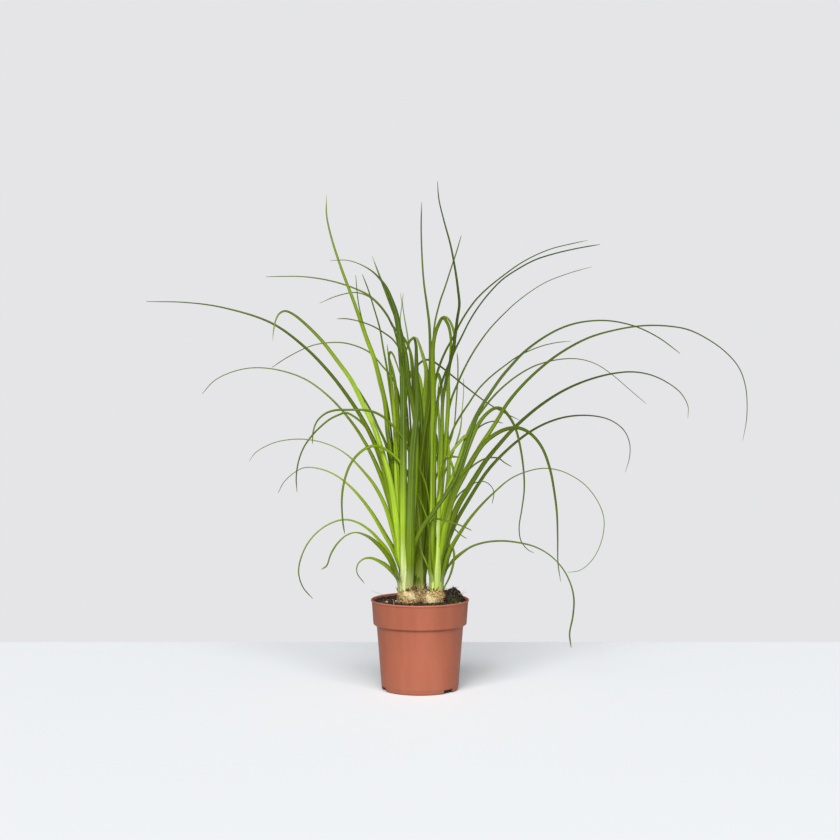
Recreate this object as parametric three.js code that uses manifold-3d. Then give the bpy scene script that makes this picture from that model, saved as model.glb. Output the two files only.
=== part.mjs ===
// A young ponytail palm in a plastic nursery pot, in millimetres, +Z up.
// The origin is the middle of the pot's underside. The front of the plant faces -Y.
// Three bulbs stand in the soil, and each carries one tuft of long strap leaves.
import * as THREE from "three";
import { mergeVertices } from "three/addons/utils/BufferGeometryUtils.js";
import Module from "manifold-3d";

const wasm = await Module();
wasm.setup();

// ---------------------------------------------------------------- driving dimensions
const GAP = 0.3; // between two pieces that touch

const POT_HEIGHT = 111;
const RIM_RADIUS = 60;
const COLLAR_TOP_RADIUS = 58.9;
const COLLAR_FOOT_RADIUS = 57;
const COLLAR_FOOT_HEIGHT = 81;
const STEP_HEIGHT = 76; // where the body ends under the collar
const BODY_TOP_RADIUS = 52.7;
const BODY_MIDDLE_RADIUS = 50.4;
const BODY_MIDDLE_HEIGHT = 47;
const FOOT_RADIUS = 46.8;
const FOOT_ROUNDING = 1.6;
const LEDGE_HEIGHT = 79; // where the collar's underside meets the body
const STEP_ROUNDING = 0.8;
const COLLAR_ROUNDING = 0.5;
const LIP_HEIGHT = 4; // the thickened lip at the top of the collar
const LIP_ROUNDING = 0.5;
const POT_WALL = 1.5;
const POT_FLOOR = 1.8;
const POT_SIDES = 48;

const NOTCH_WIDTH = 19.5;
const NOTCH_HEIGHT = 5;
const NOTCH_DEPTH = 7;
const NOTCH_TURNS = [48, 168, -72]; // degrees from the front towards +X

const SOIL_EDGE_HEIGHT = 106.8;
const SOIL_SHOULDER_RADIUS = 45;
const SOIL_SHOULDER_HEIGHT = 107.2;
const SOIL_MIDDLE_RADIUS = 26;
const SOIL_MIDDLE_HEIGHT = 107.5;
const HOLE_CLEARANCE = 0.45; // round each bulb, so that the hole's flat sides clear it
// Lumps of the raised clod: centre x, y, z and the three half sizes.
const CLOD_LUMPS = [
  { at: [34, 6, 108], half: [9, 13, 12.5] },
  { at: [41, 2, 110], half: [8.5, 12, 14] },
  { at: [45, 12, 106], half: [8, 10, 13] },
  { at: [39, -8, 104], half: [8.5, 7.5, 10] },
  { at: [49, 4, 103], half: [4.6, 9, 12.5] },
];

const BULB_SIDES = 18;
const BULB_LEAN_FROM = 110; // height above which a bulb leans towards its tuft
// Radius of a bulb of girth 1 against its height over the pot's underside.
const BULB_PROFILE = [
  [0, 74],
  [0.2, 78],
  [0.34, 86],
  [0.66, 93],
  [0.9, 99],
  [1, 106],
  [1, 111],
  [0.93, 116],
  [0.8, 119.6],
  [0.7, 122],
  [0, 122],
];
const CROWNS = {
  left: { bulb: [-13.6, 1], girth: 14.1, sheath: [-17.1, 1], sheathGirth: [8.9, 7.8] },
  right: { bulb: [15.4, 0], girth: 14.3, sheath: [19.4, 0], sheathGirth: [8.1, 7.5] },
  back: { bulb: [1.4, 25.4], girth: 12, sheath: [-0.5, 24], sheathGirth: [7.9, 6.9] },
};
const SHEATH_FOOT = 122 + GAP;
// Share of the sheath's girth against height over its foot: the rolled leaf bases at the heart of a tuft.
const SHEATH_PROFILE = [
  [0, 0],
  [0.96, 0],
  [1, 8],
  [0.97, 22],
  [0.8, 36],
  [0.48, 52],
  [0, 66],
];
const SHEATH_SIDES = 14;

const BLADE_ROOT_THICKNESS = 0.95;
const BLADE_TIP_THICKNESS = 0.65;
const ROOT_SUNK = 3; // how far inside the sheath a blade begins
const STATION_TURN = 0.25; // radians that a blade turns between two sections
const STATION_LENGTH = 65; // longest stretch between two sections
const ROUTE_SAMPLES = 90;

// The leaf routes are read in elevation, on the upright plane through the pot's axis, as they look
// from a point this far in front of it and this high. depth moves a leaf off that plane along its
// line of sight: y at the first, middle and last point of the route.
const VIEW_DISTANCE = 2450;
const VIEW_HEIGHT = 461;

// Each leaf: its widths at the root, half way and at the tip, its depths, how far its blade is turned
// out of the elevation at the root and at the tip in degrees (0 lies flat in the elevation, 90 stands
// edge on), and the points (across, up) that it passes from root to tip.
const LEFT_LEAVES = [
  // long and low to the left
  { width: [4.8, 3.8, 1.4], depth: [1, -20, -50], turn: [30, 72], route: [
    [-20, 128], [-22, 150], [-26, 185], [-33, 225], [-41, 260], [-53, 297], [-68, 328], [-85, 355],
    [-110, 388], [-140, 419], [-180, 448], [-240, 467], [-285, 473], [-332, 474],
  ] },
  { width: [5.2, 5.8, 1.4], depth: [-1, -42, -95], turn: [0, 40], route: [
    [-21, 128], [-23, 160], [-28, 200], [-33, 235], [-39, 265], [-47, 290], [-57, 320], [-70, 347],
    [-85, 377], [-100, 398], [-120, 424.5], [-140, 445], [-155, 458], [-164, 461.5], [-171, 458.5],
    [-175.5, 450], [-178, 437], [-179, 426],
  ] },
  { width: [3, 2.6, 1.3], depth: [3, 30, 60], turn: [50, 65], route: [
    [-19, 128], [-22, 160], [-27, 210], [-33, 260], [-41, 300], [-50, 320], [-60, 342], [-75, 367],
    [-92, 392], [-115, 420],
  ] },
  { width: [4.8, 3.6, 1.6], depth: [4, 38, 95], turn: [20, 65], route: [
    [-22, 128], [-24, 160], [-28, 195], [-33, 217], [-42, 247], [-55, 280], [-70, 308], [-85, 330],
    [-110, 358], [-140, 380], [-175, 391.5], [-205, 393.5], [-230, 388], [-250, 378], [-265, 362],
  ] },
  { width: [3, 2.4, 1.4], depth: [5, 50, 150], turn: [40, 60], route: [
    [-14, 128], [-15, 200], [-18, 280], [-22, 330], [-27, 366], [-35, 383], [-45, 395],
    [-60, 411.5], [-80, 421], [-100, 424.5], [-130, 421], [-160, 407], [-180, 394],
  ] },
  // tall to the left
  { width: [5.5, 4.8, 1], depth: [-2, -20, -40], turn: [55, 0], route: [
    [-20, 128], [-22, 170], [-26, 220], [-30, 255], [-35, 290], [-39, 315], [-41, 340], [-43, 355],
    [-48, 375], [-55, 403], [-65, 430], [-80, 473], [-95, 513], [-107, 550], [-113, 578],
    [-113, 604],
  ] },
  { width: [2.6, 2.4, 1.2], depth: [5, 30, 60], turn: [60, 60], route: [
    [-20, 128], [-26, 240], [-33, 300], [-38, 340], [-45, 372], [-53, 402], [-64, 432], [-71, 455],
    [-75, 475], [-78, 506],
  ] },
  { width: [3.6, 3, 1.3], depth: [5, 70, 190], turn: [30, 60], route: [
    [-11.5, 128], [-12, 200], [-12, 280], [-12, 340], [-15, 378], [-19, 405], [-25, 427],
    [-32, 441], [-40, 458], [-50, 471], [-60, 480], [-70, 486], [-90, 494], [-110, 499.5],
    [-130, 503], [-150, 504.5], [-187, 504],
  ] },
  { width: [4, 3, 1.2], depth: [3, 35, 80], turn: [40, 60], route: [
    [-17, 128], [-19, 200], [-21, 280], [-22, 350], [-23, 400], [-28, 428], [-33, 445], [-40, 457],
    [-50, 470], [-62, 480], [-78, 485], [-100, 481], [-122, 472],
  ] },
  { width: [7.5, 8.2, 1.4], depth: [-3.5, -50, -150], turn: [0, 55], route: [
    [-21.5, 128], [-21, 200], [-20, 300], [-20.5, 380], [-22, 405], [-24.5, 432], [-28, 455],
    [-34, 474], [-41, 491], [-50, 503], [-60, 512], [-75, 520], [-90, 524], [-109, 523.5],
  ] },
  { width: [4.6, 4.2, 1.2], depth: [5, 20, 40], turn: [45, 45], route: [
    [-11.5, 128], [-8, 250], [-5, 340], [-5, 385], [-8, 402], [-14, 420], [-22, 437], [-29, 455],
    [-37, 475], [-45, 495], [-52, 513], [-58, 529],
  ] },
  { width: [3, 2.6, 1.2], depth: [-3, -35, -90], turn: [50, 55], route: [
    [-18, 128], [-22, 200], [-28, 280], [-34, 340], [-41, 395], [-45, 420], [-48, 438], [-51, 450],
    [-57, 470], [-63, 489], [-70, 507],
  ] },
  { width: [2.8, 2.6, 1.2], depth: [-2, -60, -200], turn: [45, 68], route: [
    [-13, 128], [-13, 200], [-14, 280], [-16, 350], [-19, 393], [-24, 414], [-32, 427], [-42, 435],
    [-55, 443], [-70, 449], [-88, 453], [-101, 453],
  ] },
  // upright in the middle of the tuft, two of them folded over near the tip
  { width: [9, 10.5, 1.5], depth: [-3.5, -22, -42], turn: [0, 75], route: [
    [-11.5, 128], [-12.5, 165], [-13, 210], [-12, 250], [-10.5, 300], [-7, 340], [-4, 370],
    [-3, 400], [-4, 421], [-7, 429.5], [-11.5, 427.5], [-15, 420], [-19, 408],
  ] },
  { width: [4.2, 4.6, 1.3], depth: [-3, -25, -50], turn: [10, 75], route: [
    [-22, 128], [-25, 170], [-27, 220], [-29, 270], [-30, 310], [-31, 340], [-34, 370],
    [-36.5, 395], [-37.5, 408], [-35.8, 412.5], [-32.5, 409], [-29, 400], [-26, 391], [-24, 384],
  ] },
  { width: [4, 4.2, 1], depth: [2, 14, 30], turn: [10, 40], route: [
    [-22, 128], [-23, 200], [-25, 260], [-26.5, 300], [-27, 335], [-29, 365], [-33, 390],
    [-38, 408], [-40, 422],
  ] },
  // arched over to the left, lower down
  { width: [4, 3.6, 1.3], depth: [-2, -20, -60], turn: [45, 55], route: [
    [-22, 128], [-25.5, 150], [-28.5, 176], [-35, 200], [-43, 225], [-55, 250], [-70, 269],
    [-85, 284.5], [-100, 295], [-120, 303], [-140, 306.5], [-160, 306], [-180, 301.5],
    [-200, 290.5], [-208, 280],
  ] },
  { width: [3.4, 2.8, 1.2], depth: [4, 35, 85], turn: [40, 55], route: [
    [-22, 128], [-25.5, 145], [-29, 165], [-43, 191], [-60, 219], [-80, 244], [-100, 261],
    [-120, 270], [-140, 272], [-153, 266], [-166, 254], [-173, 241],
  ] },
  { width: [4.4, 4.2, 1.8], depth: [-3.5, -70, -170], turn: [40, 60], route: [
    [-12, 128], [-11, 170], [-10, 215], [-11, 245], [-15, 266], [-25, 280], [-38, 292],
    [-52, 298.5], [-64, 296.5], [-76, 288], [-86, 274], [-93, 253], [-95.5, 232], [-94.5, 208],
    [-92, 191],
  ] },
  { width: [4.6, 4.2, 1.6], depth: [2, 22, 50], turn: [35, 60], route: [
    [-17, 128], [-20, 170], [-26, 215], [-34, 250], [-45, 280], [-57, 308], [-68, 324], [-78, 333],
    [-90, 339], [-100, 336], [-110, 331], [-120, 323], [-130, 313], [-141, 298], [-148, 280],
    [-151, 260], [-150, 242],
  ] },
  { width: [3.4, 3.2, 1.2], depth: [-3.5, -90, -220], turn: [45, 62], route: [
    [-11.5, 128], [-9, 200], [-9, 255], [-12, 288], [-20, 307], [-30, 320], [-42, 332],
    [-55, 339.5], [-70, 342.5], [-88, 342.5], [-103, 342], [-115, 338], [-125, 329], [-130, 316],
    [-131, 301],
  ] },
  { width: [5, 4.6, 1.5], depth: [-2, -30, -70], turn: [55, 60], route: [
    [-22, 128], [-28, 140], [-31, 153], [-40, 172], [-50, 183], [-60, 193], [-75, 203],
    [-90, 207.5], [-104, 205], [-120, 196.5], [-135, 182], [-145, 163], [-148.5, 143], [-143, 125],
    [-131, 111],
  ] },
  { width: [4.8, 4.8, 1.4], depth: [-3.5, -60, -125], turn: [30, 60], route: [
    [-22, 128], [-27, 135], [-31, 146], [-36, 157], [-45, 170], [-55, 180], [-65, 188],
    [-78, 192.5], [-90, 189], [-101, 179], [-109, 166], [-114, 152], [-121, 147],
  ] },
  { width: [4, 3.6, 1.3], depth: [4, 30, 66], turn: [30, 60], route: [
    [-22, 128], [-27, 134], [-32, 142], [-40, 150], [-50, 157], [-60, 160.8], [-69, 159.5],
    [-76, 153], [-77, 143], [-68, 130],
  ] },
  // the dark one that leans across in front to the right
  { width: [6.6, 4.6, 1.4], depth: [-3.5, -75, -135], turn: [20, 68], route: [
    [-12, 135], [-12, 160], [-8, 176], [-2, 189], [5, 201], [13, 212], [22, 225], [35, 244],
    [45, 262], [53, 285], [59, 305], [66, 325], [74, 344], [86, 363], [100, 383], [112, 397],
    [125, 411], [150, 430], [175, 443], [200, 449.5], [230, 450.5], [262, 443.5], [290, 430],
    [316, 411],
  ] },
];

const BACK_LEAVES = [
  { width: [6.5, 5, 1], depth: [24, 42, 70], turn: [0, 50], route: [
    [1, 128], [1, 180], [2, 240], [4, 290], [7, 325], [10, 350], [12, 385], [12, 415], [11.5, 445],
    [8.5, 470], [5, 495], [3, 520], [1.5, 560], [2, 594],
  ] },
  { width: [3.6, 3, 1.3], depth: [25, 80, 220], turn: [40, 62], route: [
    [4, 128], [5, 200], [8, 280], [12, 340], [17, 372], [22, 390], [27, 404], [33, 417], [41, 431],
    [46, 442], [55, 458], [68, 476], [82, 490], [100, 504.5], [120, 519], [140, 530], [160, 538],
    [180, 543], [203, 548],
  ] },
  { width: [3, 2.4, 1.2], depth: [25, 85, 190], turn: [40, 62], route: [
    [-2, 128], [-3, 250], [-6, 335], [-7, 375], [-4, 394], [4, 402], [13, 402.5], [25, 395],
    [40, 383], [60, 367], [80, 352], [100, 340], [121, 330],
  ] },
  { width: [3.4, 2.6, 1.2], depth: [24, 130, 250], turn: [30, 62], route: [
    [3, 128], [6, 200], [12, 260], [23, 288], [35, 305], [42, 322], [50, 336], [60, 351], [70, 366],
    [80, 377], [90, 386], [103, 396], [120, 408], [145, 419], [165, 424], [183, 426],
  ] },
  { width: [3, 2, 1], depth: [23, 60, 130], turn: [40, 50], route: [
    [4.8, 128], [11, 200], [20, 260], [30, 288], [38, 307], [42, 325], [44, 350], [46, 380],
    [46, 400], [45, 412],
  ] },
  { width: [2.6, 1.8, 0.9], depth: [26, 120, 240], turn: [40, 50], route: [
    [4.8, 128], [14, 200], [28, 258], [41, 292], [49, 318], [51, 340], [53, 362], [53, 381],
  ] },
  { width: [2.8, 2, 0.9], depth: [27, 120, 260], turn: [30, 55], route: [
    [-3, 128], [-5, 250], [-8, 350], [-11, 400], [-15, 432], [-19, 455], [-21, 470], [-20.5, 484],
  ] },
  { width: [2.8, 2, 0.9], depth: [27, 95, 200], turn: [30, 55], route: [
    [-4, 128], [-8, 250], [-13, 350], [-18, 400], [-22, 430], [-24, 453], [-22, 470], [-24, 485],
  ] },
  { width: [6, 6.4, 1], depth: [21.5, 30, 44], turn: [0, 75], route: [
    [3, 128], [3, 200], [3, 270], [5, 320], [7, 350], [7.5, 375], [6, 393], [2.5, 409], [-1, 421],
    [-4.5, 429], [-9, 431.5], [-17, 431.5],
  ] },
  // arched over to the back
  { width: [6.5, 5.5, 1.4], depth: [27, 115, 230], turn: [0, 20], route: [
    [1, 128], [2, 220], [4, 300], [3, 350], [-1, 380], [-7, 390], [-13, 383], [-17, 360],
    [-19, 320], [-20, 285],
  ] },
  { width: [6, 5, 1.3], depth: [27, 150, 300], turn: [0, 20], route: [
    [-2, 128], [-5, 200], [-9, 265], [-14, 310], [-18, 330], [-22, 330], [-24, 305], [-25, 260],
    [-26, 210],
  ] },
  { width: [5, 4.2, 1.2], depth: [27, 120, 260], turn: [0, 25], route: [
    [4, 128], [7, 220], [11, 300], [15, 350], [18.5, 378], [21.5, 386], [25, 377], [27, 350],
    [28, 310], [28, 262],
  ] },
  { width: [4.2, 3.6, 1.2], depth: [27, 140, 280], turn: [10, 25], route: [
    [2, 128], [5, 190], [9, 250], [13, 292], [17, 312], [20, 308], [22, 282], [23, 240], [24, 190],
  ] },
];

const RIGHT_LEAVES = [
  // upright, the first two folded over at the top
  { width: [5.4, 6.2, 1.3], depth: [-3, -25, -50], turn: [0, 65], route: [
    [22, 128], [23, 170], [25, 210], [28, 250], [30.5, 290], [32.5, 330], [34, 360], [35, 395],
    [35.5, 424], [33.5, 441], [30, 450.5], [26, 453.5], [22, 449], [19, 440], [17, 428], [16, 416],
  ] },
  { width: [3.6, 3, 1.3], depth: [3, 20, 45], turn: [40, 60], route: [
    [23, 128], [25, 200], [29, 260], [34, 320], [36.5, 370], [39, 410], [40.5, 430], [38.5, 444],
    [34.5, 452.5], [30, 455.5], [26, 453], [23, 446], [21, 438], [20, 428],
  ] },
  { width: [4.6, 4.6, 1], depth: [-2, -40, -100], turn: [30, 55], route: [
    [23.4, 128], [24, 200], [26, 270], [27, 320], [28, 352], [31, 372], [35, 392], [39, 409],
    [42, 425], [44, 440], [45.5, 453], [48, 470], [46.5, 487], [43, 512], [37, 543], [29, 572],
    [23, 597], [21, 619],
  ] },
  { width: [7.4, 7, 0.9], depth: [1, -12, -24], turn: [0, 60], route: [
    [14, 128], [14, 200], [14, 280], [16, 330], [17.5, 370], [17.5, 410], [18, 438], [20, 457],
    [24, 475], [30, 490], [38, 515], [44, 533], [50, 554],
  ] },
  { width: [3.8, 3, 1.3], depth: [-2, -70, -210], turn: [30, 62], route: [
    [17, 128], [17, 200], [18, 280], [19, 325], [22, 355], [26, 373], [32, 390], [38, 404],
    [44, 418], [51, 432], [60, 450], [70, 466], [83, 483], [100, 500.5], [120, 514], [140, 524.5],
    [160, 531], [180, 536], [200, 540], [218, 543],
  ] },
  { width: [3.2, 2.4, 1.2], depth: [4, 45, 120], turn: [40, 60], route: [
    [20, 128], [23, 200], [28, 280], [34, 335], [39, 357], [45, 372], [51, 386], [60, 404],
    [71, 422], [85, 441], [100, 457], [120, 475.5], [150, 496], [180, 508], [208, 516],
  ] },
  // long reaches to the right
  { width: [3.6, 2.8, 1.3], depth: [4, 80, 210], turn: [30, 62], route: [
    [23.4, 128], [27, 180], [35, 235], [45, 272], [55, 303], [65, 326], [77, 343], [88, 357],
    [102, 371], [120, 385], [140, 396], [165, 403], [190, 404.5], [212, 399], [232, 386.5],
    [255, 367], [275, 350],
  ] },
  { width: [5.2, 4.4, 1.4], depth: [-3.5, 12, 30], turn: [10, 60], route: [
    [23, 128], [27, 170], [33, 210], [42, 240], [52, 262], [65, 282], [75, 300], [85, 315],
    [95, 331], [105, 348], [120, 367], [142, 389], [170, 411], [205, 430], [240, 440], [270, 444.5],
    [297, 444.5], [325, 440], [350, 428], [372, 412], [388, 393], [396, 370], [398, 345],
    [397, 327], [393, 305],
  ] },
  { width: [5, 5, 1.4], depth: [2, 25, 70], turn: [40, 50], route: [
    [23.4, 128], [28, 165], [33, 205], [40, 238], [48, 262], [55, 285], [62, 304], [70, 322],
    [80, 336], [91, 344], [99, 343.5], [107, 336], [116, 320], [122, 297], [126, 270], [127, 245],
    [124, 220], [121, 200], [123, 183], [131, 172], [139, 167.5],
  ] },
  { width: [4.8, 4.8, 1.4], depth: [-3, -50, -120], turn: [35, 50], route: [
    [23.4, 128], [27, 165], [32, 200], [42, 238], [54, 262], [66, 284], [77, 300], [90, 311],
    [105, 318.5], [120, 320], [134, 313.5], [148, 297], [158, 271], [164, 240], [167, 215],
    [168, 185], [168.5, 155], [172, 132],
  ] },
  { width: [4.6, 4.6, 1.3], depth: [-1, -20, -50], turn: [40, 58], route: [
    [23.4, 128], [29, 150], [32, 182], [39, 205], [48, 227], [57, 242], [68, 260], [80, 279],
    [97, 300], [112, 317], [130, 334], [150, 350], [170, 363], [190, 373], [212, 381], [235, 386.5],
    [258, 388.5], [280, 385], [300, 376], [317, 363], [326, 347], [326, 332],
  ] },
  { width: [4.6, 4.6, 1.3], depth: [3, 55, 130], turn: [40, 58], route: [
    [23.4, 128], [29, 150], [33, 175], [39, 192], [47, 210], [58, 229], [72, 252], [83, 268],
    [98, 285], [120, 305], [140, 319], [160, 328.5], [180, 334], [204, 335.5], [226, 332],
    [240, 325], [250, 315], [255.5, 300], [255, 283], [250, 266],
  ] },
  { width: [3.4, 3, 1.3], depth: [-3, -40, -95], turn: [45, 55], route: [
    [23.4, 128], [28, 135], [31, 150], [38, 172], [50, 193], [60, 208], [75, 226], [90, 241],
    [110, 258], [130, 267], [150, 271], [168, 269], [185, 262], [202, 250], [216, 232], [224, 212],
    [224, 193], [218, 172], [208, 156], [195, 146], [180, 143.5],
  ] },
  { width: [4, 3.4, 1.3], depth: [1, 22, 50], turn: [45, 55], route: [
    [23.4, 128], [29, 135], [34, 148], [41, 158], [51, 167], [63, 175], [80, 180.3], [100, 182],
    [120, 180], [140, 175], [158, 165], [173, 150], [183, 132], [188, 112], [187, 90], [183, 68],
    [185, 51],
  ] },
  // short and thin ones
  { width: [2.8, 2.8, 1.3], depth: [-3.5, -12, -16], turn: [50, 70], route: [
    [23.4, 128], [25.5, 145], [28.5, 163], [33, 174], [38, 176], [41, 169], [41, 158], [39, 148],
    [35.5, 137], [31.5, 128.5],
  ] },
  { width: [3.6, 4, 1.5], depth: [-2, -20, -38], turn: [35, 80], route: [
    [21, 128], [25, 180], [33, 225], [43, 262], [50, 288], [54.5, 303], [57, 310], [54, 309.5],
    [47, 302], [40, 293.5], [36.5, 288], [38.5, 285.6], [44, 285], [49, 284.5],
  ] },
  { width: [2.6, 2.2, 1.1], depth: [-3.5, -55, -110], turn: [40, 60], route: [
    [17, 128], [19, 200], [24, 255], [30, 280], [35, 283], [39, 275], [41, 265], [41, 254],
  ] },
  { width: [2.6, 2.2, 1.1], depth: [4, 65, 150], turn: [45, 60], route: [
    [22, 128], [26, 190], [36, 235], [47, 270], [57, 298], [68, 317], [78, 325], [90, 328.5],
    [101, 326],
  ] },
  { width: [2.8, 2.4, 1.1], depth: [-3.5, -80, -170], turn: [40, 60], route: [
    [22, 128], [25, 170], [32, 210], [42, 242], [51, 260], [60, 270], [70, 278], [82, 283.5],
    [95, 283.5], [103, 278], [112, 273],
  ] },
  { width: [2.6, 2.2, 1.1], depth: [4, 45, 95], turn: [40, 60], route: [
    [23.4, 128], [27, 160], [31, 195], [37, 220], [46, 237], [57, 247], [67, 253], [77, 255],
    [85, 251], [90, 242], [88, 228],
  ] },
  { width: [3.2, 2.6, 1.2], depth: [-3.5, -60, -180], turn: [30, 60], route: [
    [14, 128], [12, 180], [10, 225], [8, 252], [5, 260], [3, 248], [4, 232], [8, 217], [15, 209.5],
    [27, 208], [40, 204.5], [51, 200.5], [63, 195],
  ] },
  { width: [2.8, 2.2, 1.1], depth: [4, 70, 150], turn: [40, 60], route: [
    [20, 128], [23, 165], [27, 198], [32, 206], [38, 201], [43, 194], [50, 189], [57, 184],
  ] },
];

// ---------------------------------------------------------------- solids
function solidOf(geometry) {
  const bare = geometry.index ? geometry.toNonIndexed() : geometry.clone();
  bare.deleteAttribute("normal");
  bare.deleteAttribute("uv");
  const merged = mergeVertices(bare, 1e-3);
  return new wasm.Manifold(
    new wasm.Mesh({
      numProp: 3,
      vertProperties: merged.attributes.position.array,
      triVerts: new Uint32Array(merged.index.array),
    }),
  );
}

function geometryOf(solid) {
  const { vertProperties, triVerts } = solid.getMesh();
  const geometry = new THREE.BufferGeometry();
  geometry.setAttribute("position", new THREE.BufferAttribute(vertProperties, 3));
  geometry.setIndex(new THREE.BufferAttribute(triVerts, 1));
  geometry.computeVertexNormals();
  return geometry;
}

// A body of revolution about +Z. The profile's points are [radius, height], listed upwards on the
// outside of the body.
function turned(profile, sides) {
  const points = profile.map(([radius, height]) => new THREE.Vector2(radius, height));
  return new THREE.LatheGeometry(points, sides).rotateX(Math.PI / 2);
}

// ---------------------------------------------------------------- pot
function potOutline() {
  return [
    [0, 0],
    [FOOT_RADIUS - FOOT_ROUNDING, 0],
    [FOOT_RADIUS, FOOT_ROUNDING],
    [BODY_MIDDLE_RADIUS, BODY_MIDDLE_HEIGHT],
    [BODY_TOP_RADIUS, STEP_HEIGHT],
    [BODY_TOP_RADIUS + STEP_ROUNDING, LEDGE_HEIGHT],
    [COLLAR_FOOT_RADIUS - COLLAR_ROUNDING, COLLAR_FOOT_HEIGHT - COLLAR_ROUNDING],
    [COLLAR_FOOT_RADIUS, COLLAR_FOOT_HEIGHT],
    [COLLAR_TOP_RADIUS, POT_HEIGHT - LIP_HEIGHT],
    [RIM_RADIUS - LIP_ROUNDING, POT_HEIGHT - LIP_HEIGHT / 2],
    [RIM_RADIUS, POT_HEIGHT - LIP_ROUNDING * 2],
    [RIM_RADIUS - LIP_ROUNDING, POT_HEIGHT],
    [RIM_RADIUS - POT_WALL, POT_HEIGHT],
  ];
}

// The pot's inner face, from the lip down to its floor, moved inwards and upwards by clearance.
function potInside(clearance) {
  const wall = POT_WALL + clearance;
  return [
    [COLLAR_TOP_RADIUS - wall, POT_HEIGHT - LIP_HEIGHT],
    [COLLAR_FOOT_RADIUS - wall, COLLAR_FOOT_HEIGHT + wall],
    [BODY_TOP_RADIUS + STEP_ROUNDING - wall, LEDGE_HEIGHT + wall],
    [BODY_TOP_RADIUS - wall, STEP_HEIGHT],
    [BODY_MIDDLE_RADIUS - wall, BODY_MIDDLE_HEIGHT],
    [FOOT_RADIUS - wall, POT_FLOOR + clearance],
    [0, POT_FLOOR + clearance],
  ];
}

function makePot() {
  const shell = solidOf(turned([...potOutline(), ...potInside(0)], POT_SIDES));
  const notch = new THREE.BoxGeometry(NOTCH_WIDTH, NOTCH_DEPTH * 2, NOTCH_HEIGHT * 2);
  return NOTCH_TURNS.reduce((pot, turn) => {
    const cut = notch.clone().translate(0, -FOOT_RADIUS - 1, 0);
    cut.rotateZ(THREE.MathUtils.degToRad(turn));
    return pot.subtract(solidOf(cut));
  }, shell);
}

// ---------------------------------------------------------------- bulbs
// grown is what the bulb is thickened by all round, which makes the hole that it stands in.
function makeBulb(crown, grown = 0) {
  const profile = BULB_PROFILE.map(([share, height], index) => {
    const end = index === 0 ? -grown : index === BULB_PROFILE.length - 1 ? grown : 0;
    return [share === 0 ? 0 : share * crown.girth + grown, height + end];
  });
  const geometry = turned(profile, BULB_SIDES);
  const [x, y] = crown.bulb;
  const top = BULB_PROFILE.at(-1)[1];
  const position = geometry.attributes.position;
  for (let i = 0; i < position.count; i++) {
    const above = Math.max(0, position.getZ(i) - BULB_LEAN_FROM) / (top - BULB_LEAN_FROM);
    position.setX(i, position.getX(i) + x + above * (crown.sheath[0] - x));
    position.setY(i, position.getY(i) + y + above * (crown.sheath[1] - y));
  }
  return solidOf(geometry);
}

// ---------------------------------------------------------------- soil
function makeLump({ at, half }) {
  const lump = new THREE.IcosahedronGeometry(1, 1);
  return solidOf(lump.scale(...half).translate(...at));
}

function makeSoil() {
  const inside = potInside(GAP);
  const [[topRadius, topHeight], [lowRadius, lowHeight]] = inside;
  const filled = (SOIL_EDGE_HEIGHT - lowHeight) / (topHeight - lowHeight);
  const surface = [
    [lowRadius + (topRadius - lowRadius) * filled, SOIL_EDGE_HEIGHT],
    [SOIL_SHOULDER_RADIUS, SOIL_SHOULDER_HEIGHT],
    [SOIL_MIDDLE_RADIUS, SOIL_MIDDLE_HEIGHT],
    [0, SOIL_MIDDLE_HEIGHT],
  ];
  const bed = solidOf(turned([...inside.slice(1).reverse(), ...surface], POT_SIDES));
  const heaped = CLOD_LUMPS.reduce((soil, lump) => soil.add(makeLump(lump)), bed);
  return Object.values(CROWNS).reduce(
    (soil, crown) => soil.subtract(makeBulb(crown, HOLE_CLEARANCE)),
    heaped,
  );
}

// ---------------------------------------------------------------- leaves
function makeSheath(crown) {
  const [acrossX, acrossY] = crown.sheathGirth;
  const geometry = turned(SHEATH_PROFILE, SHEATH_SIDES);
  return geometry.scale(acrossX, acrossY, 1).translate(...crown.sheath, SHEATH_FOOT);
}

// How far a point lies inside the sheath's side, in the sheath's own girths; negative is outside.
function shareInside(crown, point) {
  const height = point.z - SHEATH_FOOT;
  const above = SHEATH_PROFILE.findIndex(([, level], index) => index > 1 && level > height);
  if (above < 0 || height < 0) return -1;
  const [lowShare, low] = SHEATH_PROFILE[above - 1];
  const [highShare, high] = SHEATH_PROFILE[above];
  const share = lowShare + ((highShare - lowShare) * (height - low)) / (high - low);
  const across = (point.x - crown.sheath[0]) / crown.sheathGirth[0];
  const along = (point.y - crown.sheath[1]) / crown.sheathGirth[1];
  return share - Math.hypot(across, along);
}

// A value that runs smoothly through its three given ones: at the root, half way and at the tip.
function between([root, middle, tip], along) {
  const bend = 2 * (root + tip - 2 * middle);
  return root + (tip - root - bend) * along + bend * along * along;
}

// The middle line of a leaf in space, and the place on it from 0 at the root to 1 at the tip.
function leafSamples(leaf) {
  const points = leaf.route.map(([across, up], index) => {
    const y = between(leaf.depth, index / (leaf.route.length - 1));
    const nearer = (VIEW_DISTANCE + y) / VIEW_DISTANCE;
    return new THREE.Vector3(across * nearer, y, VIEW_HEIGHT + (up - VIEW_HEIGHT) * nearer);
  });
  const curve = new THREE.CatmullRomCurve3(points, false, "centripetal");
  return curve
    .getSpacedPoints(ROUTE_SAMPLES)
    .map((point, index) => ({ along: index / ROUTE_SAMPLES, point }));
}

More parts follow.
